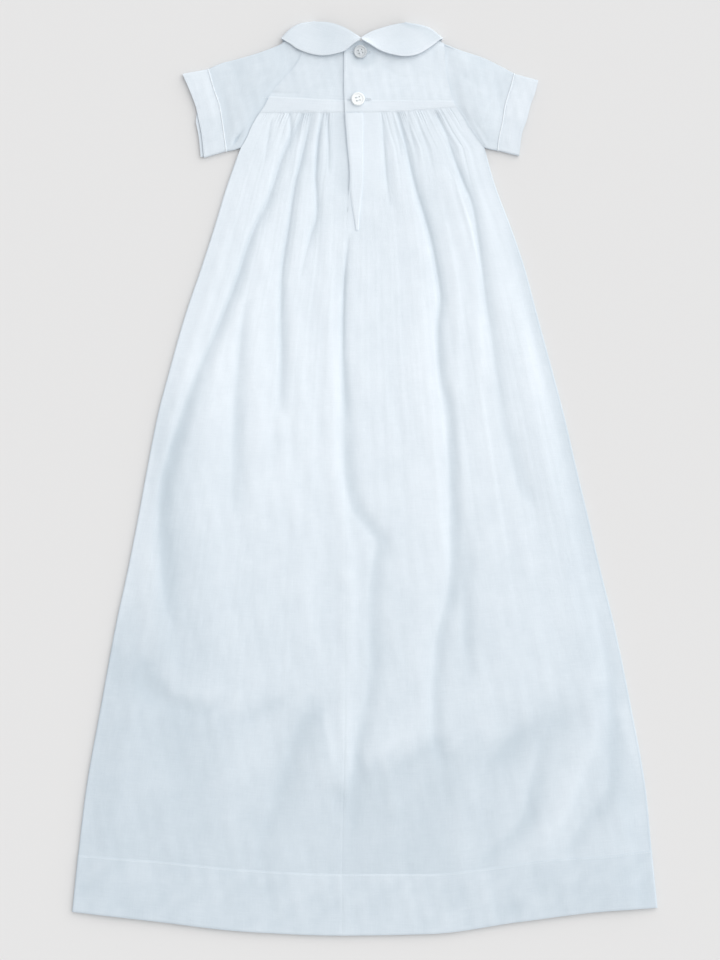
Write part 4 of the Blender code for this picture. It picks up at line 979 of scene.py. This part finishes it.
def strands(runs, pitch, length, radius, arch, stations=5, sides=6):
    """Thread pieces along runs of points and normals. Each starts a pitch after the last one. Its
    section is a circle of that radius, about a third as wide at both ends, and its middle rises by
    arch times sin(pi t)."""
    points, faces, base = [], [], 0
    for line, normal in runs:
        far = np.concatenate([[0], np.cumsum(np.linalg.norm(np.diff(line, axis=0), axis=1))])
        count = max(int((far[-1] - length) / pitch) + 1, 1)
        t = np.linspace(0, 1, stations)
        spare = max(far[-1] - (count - 1) * pitch - length, 0)
        at = np.arange(count)[:, None] * pitch + t * length + spare / 2
        here = np.stack([np.interp(at, far, line[:, k]) for k in range(3)], -1)
        ahead = np.stack([np.interp(at + 0.05, far, line[:, k]) - np.interp(at - 0.05, far, line[:, k])
                          for k in range(3)], -1)
        up = np.stack([np.interp(at, far, normal[:, k]) for k in range(3)], -1)
        out = np.cross(ahead, up)
        out /= np.linalg.norm(out, axis=-1, keepdims=True) + 1e-9
        here = here + up * (arch * np.sin(math.pi * t))[None, :, None]
        turn = np.linspace(0, 2 * math.pi, sides, endpoint=False)
        taper = radius * np.where((t == 0) | (t == 1), 0.35, 1.0)[None, :, None, None]
        section = out[:, :, None] * np.cos(turn)[:, None] + up[:, :, None] * np.sin(turn)[:, None]
        rings = here[:, :, None] + taper * section
        place = np.arange(count * stations * sides).reshape(count, stations, sides) + base
        after = np.roll(place, -1, axis=2)
        faces.append(np.stack([place[:, :-1], place[:, 1:], after[:, 1:], after[:, :-1]], -1).reshape(-1, 4))
        points.append(rings.reshape(-1, 3))
        base += count * stations * sides
    return np.vstack(points) * MM, np.vstack(faces)


def line_at(x, y, z):
    """A run of points on level cloth, with upright normals."""
    x, y, z = np.broadcast_arrays(x, y, z)
    return np.stack([x, y, z], -1), np.broadcast_to((0.0, 0.0, 1.0), (len(x), 3))


def stitched(name, runs, pitch=2.2, length=1.6, radius=0.16, arch=0.18):
    """One mesh of stitches."""
    made = mesh_object(name, *strands(runs, pitch, length, radius, arch))
    print(f"{name}: {len(made.data.polygons)} faces")
    return made


# %% Stitch rows
def back_run(xs, ys, layer, above):
    """A run on the back, so many millimetres above the middle of the cloth."""
    return line_at(xs, ys, back_height(xs, ys, layer) + above)


def hem_run(first, last, count):
    """The stitch row of the back hem, 1.6 mm below the hem line."""
    xs = np.linspace(first, last, count)
    return back_run(xs, hem_line(xs) - 1.6, 0.0, 0.58)


def strip_runs(first, last, layer):
    """Two stitch rows on a waist strip, 1.3 mm inside its edges."""
    xs = np.linspace(first, last, 200)
    return [back_run(xs, ys, layer, 0.5) for ys in (strip_low(xs) + 1.3, strip_top(xs) - 1.3)]


hem_stitches = stitched("stitches_hem_back", [hem_run(-243, -21, 300), hem_run(-18, 243, 340)])
hem_front_stitches = stitched("stitches_hem_front", [on_cloth("cloth_hem_front", -4, slice(8, -8), 0.0, -1)])
waist_stitches = stitched("stitches_waist", strip_runs(-88, -20, UNDERLAP) + strip_runs(-15.5, 74, OVERLAP))

# %% Stitches of the placket, the yoke's edge, the collar and the cuffs
ys = np.linspace(STRIP_END + 2, WAIST_Y - 1, 140)
placket_runs = [back_run(edge, ys, OVERLAP, WALL / 2 + 0.5)
                for edge in (strip_left_edge(ys) + 1.3, strip_right_edge(ys) - 1.2)]
ys = np.linspace(326, 366, 60)
placket_runs.append(back_run(placket(ys) + 1.6, ys, OVERLAP, 0.28))
placket_stitches = stitched("stitches_placket", placket_runs, radius=0.13, arch=0.1)

COLLAR_ROW, CUFF_ROWS = 35, (2, 25)           # grid rows near the finished edges
ALL_ROUND = slice(0, 161)
collar_runs = [on_cloth(name, COLLAR_ROW, slice(1, 88), 0.0, side)
               for name, side in (("cloth_collar_left", 1), ("cloth_collar_right", -1))]
collar_stitches = stitched("stitches_collar", collar_runs, 1.9, 1.35, 0.13, 0.14)
cuff_runs = [on_cloth(name, row, ALL_ROUND, 0.0, side)
             for name, side in (("cloth_cuff_left", -1), ("cloth_cuff_right", 1)) for row in CUFF_ROWS]
cuff_stitches = stitched("stitches_cuffs", cuff_runs, 2.0, 1.4, 0.14, 0.16)

# %% Piping where the cuffs join the sleeves
def piping(name, source, side):
    """A thin corded edge round the inner line of a cuff."""
    run = on_cloth(source, 0, ALL_ROUND, 0.15, side)
    far = float(np.linalg.norm(np.diff(run[0], axis=0), axis=1).sum())
    return mesh_object(name, *strands([run], far, far, 0.5, 0.0, 300, 8))


piping_left = piping("piping_cuff_left", "cloth_cuff_left", -1)
piping_right = piping("piping_cuff_right", "cloth_cuff_right", 1)


# %% Buttonholes
def buttonhole(name, x, y, width):
    """A worked buttonhole: close stitches across a slit, on both sides of it, with a bar at each end."""
    xs = np.linspace(x - width / 2, x + width / 2, int(width / 0.42))
    runs = []
    for side in (-1, 1):
        ys = y + side * np.array([0.12, 0.45, 0.8, 1.15])
        runs += [back_run(np.full(4, place), ys, OVERLAP, 0.82) for place in xs]
    ys = y + np.linspace(-1.2, 1.2, 5)
    for end in (-0.25, 0, 0.25):
        runs += [back_run(np.full(5, place + end), ys, OVERLAP, 0.9) for place in (xs[0] - 0.4, xs[-1] + 0.4)]
    made = mesh_object(name, *strands(runs, 9, 1.0, 0.17, 0.12, 4, 6))
    print(f"{name}: {len(made.data.polygons)} faces")
    return made


hole_waist = buttonhole("buttonhole_waist", -4.6, 322.2, 19.0)
hole_neck = buttonhole("buttonhole_neck", -3.4, 362.4, 16.0)

# %% [markdown]
# ## Buttons
# The buttons are turned from shell: a rounded rim round a dished middle, with four sewing holes.
# The rim is a profile swept round; the middle is filled between its circle and the four hole
# circles. Two loops of thread join the holes.

# %% Shell buttons
BUTTONS = (("shell_button_neck", -4.0, 362.4, 20.0, -0.05), ("shell_button_waist", -6.0, 322.2, 16.0, 0.25))
RIM = ((3.7, 2.1), (4.1, 2.2), (4.5, 2.45), (4.9, 2.55), (5.35, 2.4), (5.65, 2.0), (5.75, 1.3), (5.6, 0.6),
       (5.2, 0.15), (4.6, 0.0))
RIM_SIDES, DISH_Z = 56, 2.1
HOLE, HOLE_PLACE, HOLE_SIDES = 0.58, 1.35, 14


def circle(radius, height, count, x=0.0, y=0.0):
    """Points round a level circle."""
    angle = np.linspace(0, 2 * math.pi, count, endpoint=False)
    return np.stack([x + radius * np.cos(angle), y + radius * np.sin(angle), np.full(count, height)], -1)


def button(name, x, y, turn, base):
    """A four-hole button in millimetres: the rim's profile swept round, and a tube for each hole,
    turned about its middle and set at its place. The top and the bottom are filled between the
    rim's circle and those of the holes."""
    points = [np.vstack([circle(r, z, RIM_SIDES) for r, z in RIM])]
    at = np.arange(len(RIM) * RIM_SIDES).reshape(len(RIM), RIM_SIDES)
    after = np.roll(at, -1, axis=1)
    faces = np.stack([at[:-1], at[1:], after[1:], after[:-1]], -1).reshape(-1, 4)
    up = np.arange(HOLE_SIDES) + len(RIM) * RIM_SIDES
    loops = [[at[0]], [at[-1]]]
    for sx, sy in ((1, 1), (-1, 1), (-1, -1), (1, -1)):
        points += [circle(HOLE, z, HOLE_SIDES, sx * HOLE_PLACE, sy * HOLE_PLACE) for z in (DISH_Z, 0.0)]
        low = up + HOLE_SIDES
        faces = np.vstack([faces, np.stack([up, np.roll(up, -1), np.roll(low, -1), low], -1)])
        loops[0].append(up)
        loops[1].append(low)
        up = low + HOLE_SIDES
    angle = math.radians(turn)
    cos, sin = math.cos(angle), math.sin(angle)
    spots = np.vstack(points) @ np.array([[cos, sin, 0], [-sin, cos, 0], [0, 0, 1]])
    spots += (x, y, base)
    made = mesh_object(name, spots * MM, faces)
    net = bmesh.new()
    net.from_mesh(made.data)
    net.verts.ensure_lookup_table()
    for group in loops:
        edges = []
        for ring_points in group:
            corners = [net.verts[int(k)] for k in ring_points]
            edges += [net.edges.get((a, b)) for a, b in zip(corners, corners[1:] + corners[:1])]
        bmesh.ops.triangle_fill(net, edges=edges, use_beauty=True)
    bmesh.ops.recalc_face_normals(net, faces=net.faces)
    net.to_mesh(made.data)
    net.free()
    print(f"{name}: {len(made.data.polygons)} faces, base {base:.2f} mm")
    return made, angle


def button_thread(name, x, y, angle, base):
    """Loops of thread between the holes, three strands to each pair, humped as the root of a cosine."""
    runs = []
    for sy in (-1, 1):
        for k in (-1, 0, 1):
            t = np.linspace(-1, 1, 9)
            px, py = t * HOLE_PLACE, np.full(9, sy * HOLE_PLACE + 0.26 * k)
            spin = px * math.cos(angle) - py * math.sin(angle), px * math.sin(angle) + py * math.cos(angle)
            runs.append(line_at(x + spin[0], y + spin[1], base + 1.5 + 0.75 * np.cos(t * math.pi / 2) ** 0.5))
    return mesh_object(name, *strands(runs, 9, 2 * HOLE_PLACE + 0.6, 0.17, 0.0, 9, 6))


buttons, threads = [], []
for name, x, y, turn, seat in BUTTONS:
    base = float(back_height(np.array([x]), np.array([y]), OVERLAP)[0]) + WALL / 2 + seat
    made, angle = button(name, x, y, turn, base)
    buttons.append(made)
    threads.append(button_thread(name.replace("shell_button", "button_thread"), x, y, angle, base))

# %% [markdown]
# ## A helper for shader arithmetic
# Shader formulas are easier to read as ordinary arithmetic. The class below wraps one socket, and
# each operator adds one Math node. Any other node is made by a single method.

# %% Sockets as numbers
class Wire:
    """A shader socket that can be used in sums. The tree is the one it belongs to."""

    def __init__(self, tree, socket):
        self.tree, self.socket = tree, socket

    def maths(self, operation, *values):
        """One Math node with this operation on the values."""
        node = self.tree.nodes.new("ShaderNodeMath")
        node.operation = operation
        for entry, value in zip(node.inputs, values):
            join(self.tree, entry, value)
        return Wire(self.tree, node.outputs[0])

    def __add__(self, other): return self.maths("ADD", self, other)
    def __radd__(self, other): return self.maths("ADD", other, self)
    def __sub__(self, other): return self.maths("SUBTRACT", self, other)
    def __rsub__(self, other): return self.maths("SUBTRACT", other, self)
    def __mul__(self, other): return self.maths("MULTIPLY", self, other)
    def __rmul__(self, other): return self.maths("MULTIPLY", other, self)
    def __truediv__(self, other): return self.maths("DIVIDE", self, other)
    def __rtruediv__(self, other): return self.maths("DIVIDE", other, self)
    def __pow__(self, other): return self.maths("POWER", self, other)
    def __rpow__(self, other): return self.maths("POWER", other, self)
    def __neg__(self): return self.maths("MULTIPLY", self, -1.0)
    def __abs__(self): return self.maths("ABSOLUTE", self)
    def sine(self): return self.maths("SINE", self)
    def outputs(self): return [Wire(self.tree, socket) for socket in self.socket.node.outputs]


def join(tree, entry, value):
    """Link a wire to an input, or put a plain value on it."""
    if isinstance(value, Wire):
        tree.links.new(value.socket, entry)
    else:
        entry.default_value = value


class Build:
    """A material or the world: its tree, its shader, and a method that adds any node."""

    def __init__(self, owner, shader, **constants):
        owner.use_nodes = True
        self.owner, self.tree = owner, owner.node_tree
        self.shader = self.tree.nodes[shader]
        self.set(**constants)

    def set(self, **values):
        """Put values or wires on the shader's sockets, an underscore standing for a space."""
        for name, value in values.items():
            join(self.tree, self.shader.inputs[name.replace("_", " ")], value)

    def node(self, kind, settings=None, output=0, **values):
        """Add a node: its type, its settings, then values or wires for its named inputs."""
        node = self.tree.nodes.new(kind)
        for name, value in (settings or {}).items():
            setattr(node, name, value)
        for name, value in values.items():
            numbered = name[0] == "i" and name[1:].isdigit()
            join(self.tree, node.inputs[int(name[1:]) if numbered else name], value)
        return Wire(self.tree, node.outputs[output])

    def blend(self, share, grey, white):
        """The colour a share of the way from grey to white."""
        return self.node("ShaderNodeMix", {"data_type": "RGBA"}, 2,
                         i0=share, i6=colour(grey), i7=colour(white))

    def give(self, *pieces):
        """Make this the only material of each piece."""
        for piece in pieces:
            piece.data.materials.clear()
            piece.data.materials.append(self.owner)


def material(name, **constants):
    """A new material with its constant values."""
    return Build(bpy.data.materials.new(name), "Principled BSDF", **constants)


def colour(text):
    """A linear colour from the three bytes of a screen colour: ((c + 0.055) / 1.055) to the 2.4."""
    screen = np.array([int(text[k:k + 2], 16) for k in (0, 2, 4)]) / 255
    linear = np.where(screen > 0.04045, ((screen + 0.055) / 1.055) ** 2.4, screen / 12.92)
    return (*linear.tolist(), 1.0)


# %% [markdown]
# ## Cotton lawn
# The weave is plain: one thread over, one under, about three threads to the millimetre. It is a
# product of two sine waves on the cloth's own UV map. Slubs, which are thicker threads, come from
# noise stretched along each thread direction. The tone value makes doubled cloth whiter and also
# brings in the painted light and shade of each piece.

# %% The cotton
THREAD = 0.00036                  # metres from a thread to the next but one


def cotton(name, grey, white, bump):
    """Woven white cotton. Base colour goes from grey to white with tone and a faint mottle; the
    bump is the weave plus slubs plus a soft laundered crumple."""
    build = material(name, Roughness=0.86, Sheen_Weight=0.18, Sheen_Roughness=0.45, Specular_IOR_Level=0.25)
    flat = build.node("ShaderNodeUVMap", {"uv_map": "cloth"})
    u, v, _ = build.node("ShaderNodeSeparateXYZ", i0=flat).outputs()
    # tone carries each piece's layers and its painted light and shade.
    tone = build.node("ShaderNodeAttribute", {"attribute_name": "tone"}, "Fac")
    place = build.node("ShaderNodeTexCoord", output="Object")
    mottle = build.node("ShaderNodeTexNoise", Vector=place, Scale=34.0, Detail=3.0, Roughness=0.55)
    weave = (u * (2 * math.pi / THREAD)).sine() * (v * (2 * math.pi / THREAD)).sine()

    def slub(across, along):
        """Noise fifteen times longer along one thread direction than across it."""
        stretched = build.node("ShaderNodeCombineXYZ", X=across * 900.0, Y=along * 60.0)
        return build.node("ShaderNodeTexNoise", Vector=stretched, Scale=1.0, Detail=2.0, Roughness=0.6)

    slubs = slub(u, v) + slub(v, u)
    crumple = build.node("ShaderNodeTexNoise", Vector=place, Scale=190.0, Detail=3.0, Roughness=0.6,
                         Distortion=0.6)
    share = tone + (mottle - 0.5) * 0.35 + (slubs - 1.0) * 0.22
    height = weave * 0.35 + slubs * 0.9 + crumple * 2.6
    normal = build.node("ShaderNodeBump", Height=height, Strength=1.0, Distance=bump)
    build.set(Base_Color=build.blend(share, grey, white), Normal=normal)
    return build


lawn = cotton("cotton_lawn", "C8D4DD", "EBF3FA", 0.00005)
doubled = cotton("cotton_doubled", "C6D2DB", "E6EEF5", 0.00006)
lawn.give(skirt_left, skirt_right, skirt_front, strip_over, strip_under, yoke_left, yoke_right, yoke_front,
          sleeve_left, sleeve_right, hem_left, hem_right, hem_front)
doubled.give(waist_left, waist_right, waist_front, cuff_left, cuff_right, collar_left, collar_right)
print("cotton nodes:", len(lawn.tree.nodes))

# %% [markdown]
# ## Thread and shell
# Sewing thread is twisted, so its bump is a slanting wave. Shell buttons are pale with faint
# clouds and a clear gloss. The upper button lies in the collar's shade, so its shell is greyer.

# %% Thread and shell finishes
sewing = material("sewing_thread", Roughness=0.7, Sheen_Weight=0.2)
spot = sewing.node("ShaderNodeTexCoord", output="Object")
twist = sewing.node("ShaderNodeTexWave", {"bands_direction": "DIAGONAL"}, Vector=spot, Scale=700.0,
                    Distortion=1.0)
cloud = sewing.node("ShaderNodeTexNoise", Vector=spot, Scale=260.0)
sewing.set(Base_Color=sewing.blend(cloud, "D9E3EA", "F6FAFD"),
           Normal=sewing.node("ShaderNodeBump", Height=twist, Strength=0.6, Distance=0.00005))
sewing.give(hem_stitches, hem_front_stitches, waist_stitches, placket_stitches, collar_stitches,
            cuff_stitches, piping_left, piping_right, hole_waist, hole_neck, *threads)

# The neck button's colours are the white shell greyed as painted shade, for the collar's shadow on it.
for name, grey, white, made in (("button_shell_painted_shade", "B4BBC0", "D0D6DA", buttons[0]),
                                ("button_shell_white", "EAF0F2", "FBFDFC", buttons[1])):
    shell = material(name, Coat_Weight=0.35, Coat_Roughness=0.12, Specular_IOR_Level=0.55)
    spot = shell.node("ShaderNodeTexCoord", output="Object")
    cloud = shell.node("ShaderNodeTexNoise", Vector=spot, Scale=420.0, Detail=2.0, Distortion=1.2)
    shell.set(Base_Color=shell.blend(cloud, grey, white), Roughness=0.22 + cloud * 0.14)
    shell.give(made)
print("materials:", len(bpy.data.materials))

# %% [markdown]
# ## Floor and studio light
# The floor is a plain pale sheet of card. A wide, soft sun stands to the upper right. The world
# fills the shade, brightest near the horizon and on the side that its light comes from.

# %% Floor
FLOOR_HALF, FLOOR_Z = 3, -0.0003
floor_corners = [(x * FLOOR_HALF, y * FLOOR_HALF, FLOOR_Z) for x, y in ((-1, -1), (1, -1), (1, 1), (-1, 1))]
floor = mesh_object("floor", np.array(floor_corners), np.array([[0, 1, 2, 3]]))
card = material("pale_card", Roughness=0.95, Specular_IOR_Level=0.1, Base_Color=colour("E0E0E0"))
card.give(floor)

# %% Lamp
lamp_data = bpy.data.lights.new("window_lamp", "SUN")
lamp_data.angle, lamp_data.energy = math.radians(80), 1.75
lamp_data.color = (1.0, 0.985, 0.97)
lamp = bpy.data.objects.new("window_lamp", lamp_data)
AZIMUTH, ELEVATION = 46.0, 52.0               # degrees
lamp.location = (1.5, 1.0, 1.6)
lamp.rotation_euler = (math.radians(90 - ELEVATION), 0, math.radians(90 + AZIMUTH))
bpy.context.scene.collection.objects.link(lamp)
print("lamp", ELEVATION, "degrees up, strength", lamp_data.energy)

# %% World: strength is SKY + GLOW exp(-|height| / DEPTH) times how far a direction faces TOWARDS
SKY, GLOW, DEPTH, TOWARDS = 0.548, 1.2, 0.3, math.radians(5.0)
world = Build(bpy.data.worlds.new("soft_sky"), "Background", Color=(0.985, 0.99, 1.0, 1.0))
direction = world.node("ShaderNodeTexCoord", output="Generated")
east, north, height = world.node("ShaderNodeSeparateXYZ", i0=direction).outputs()
facing = 0.5 + (east * math.cos(TOWARDS) + north * math.sin(TOWARDS)) * 0.5
world.set(Strength=SKY + GLOW * math.exp(-1) ** (abs(height) / DEPTH) * facing)
bpy.context.scene.world = world.owner
print("sky nodes:", len(world.tree.nodes))
bpy.context.scene.view_settings.view_transform = "Standard"

# %% [markdown]
# ## Which piece stands for which
# Every cloth piece rides on the gown's one body and replaces its solid. Each row also holds the
# flat size of the cloth it was cut from, which the loop below doesn't read.

# %% Ride and replace
PIECES = (
    (skirt_left, "skirt_back_left", (0.236, 0.65), 0.125, "gathered", [skirt_front], []),
    (skirt_right, "skirt_back_right", (0.262, 0.65), 0.145, "gathered", [skirt_front], []),
    (skirt_front, "skirt_front", (0.495, 0.65), 0.26, "gathered", [], []),
    (strip_over, "placket_overlap", (0.015, 0.1), None, "laid", [skirt_right], [placket_stitches]),
    (strip_under, "placket_underlap", (0.022, 0.057), None, "laid", [skirt_front], []),
    (hem_left, "hem_back_left", (0.235, 0.056), None, "laid", [hem_front], [hem_stitches]),
    (hem_right, "hem_back_right", (0.27, 0.054), None, "laid", [hem_front], []),
    (hem_front, "hem_front", (0.5, 0.055), None, "laid", [], [hem_front_stitches]),
    (yoke_left, "yoke_back_left", (0.086, 0.06), None, "laid", [yoke_front], []),
    (yoke_right, "yoke_back_right", (0.09, 0.06), None, "laid", [yoke_front], []),
    (yoke_front, "yoke_front", (0.15, 0.06), 0.0075, "laid", [], []),
    (waist_left, "waist_strip_back_left", (0.095, 0.013), None, "laid", [waist_front], [waist_stitches]),
    (waist_right, "waist_strip_back_right", (0.094, 0.0115), None, "laid", [waist_front], []),
    (waist_front, "waist_strip_front", (0.165, 0.0115), None, "laid", [], []),
    (sleeve_left, "sleeve_left", (0.2, 0.085), 0.0078, "laid", [], []),
    (sleeve_right, "sleeve_right", (0.18, 0.067), 0.0072, "laid", [], []),
    (cuff_left, "cuff_left", (0.15, 0.022), None, "laid", [], [cuff_stitches, piping_left]),
    (cuff_right, "cuff_right", (0.14, 0.021), None, "laid", [], [piping_right]),
    (collar_left, "collar_left", (0.13, 0.028), None, "folded", [yoke_left], [collar_stitches]),
    (collar_right, "collar_right", (0.13, 0.028), None, "folded", [yoke_right], []),
)
for piece, node, flat_size, area, held, below, added in PIECES:
    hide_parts(node)
    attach(piece, "root")
    for extra in added:
        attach(extra, "root")
for piece, node in zip(buttons, ("button_neck", "button_waist")):
    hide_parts(node)
    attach(piece, "root")
for piece in (*threads, hole_waist, hole_neck):
    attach(piece, "root")
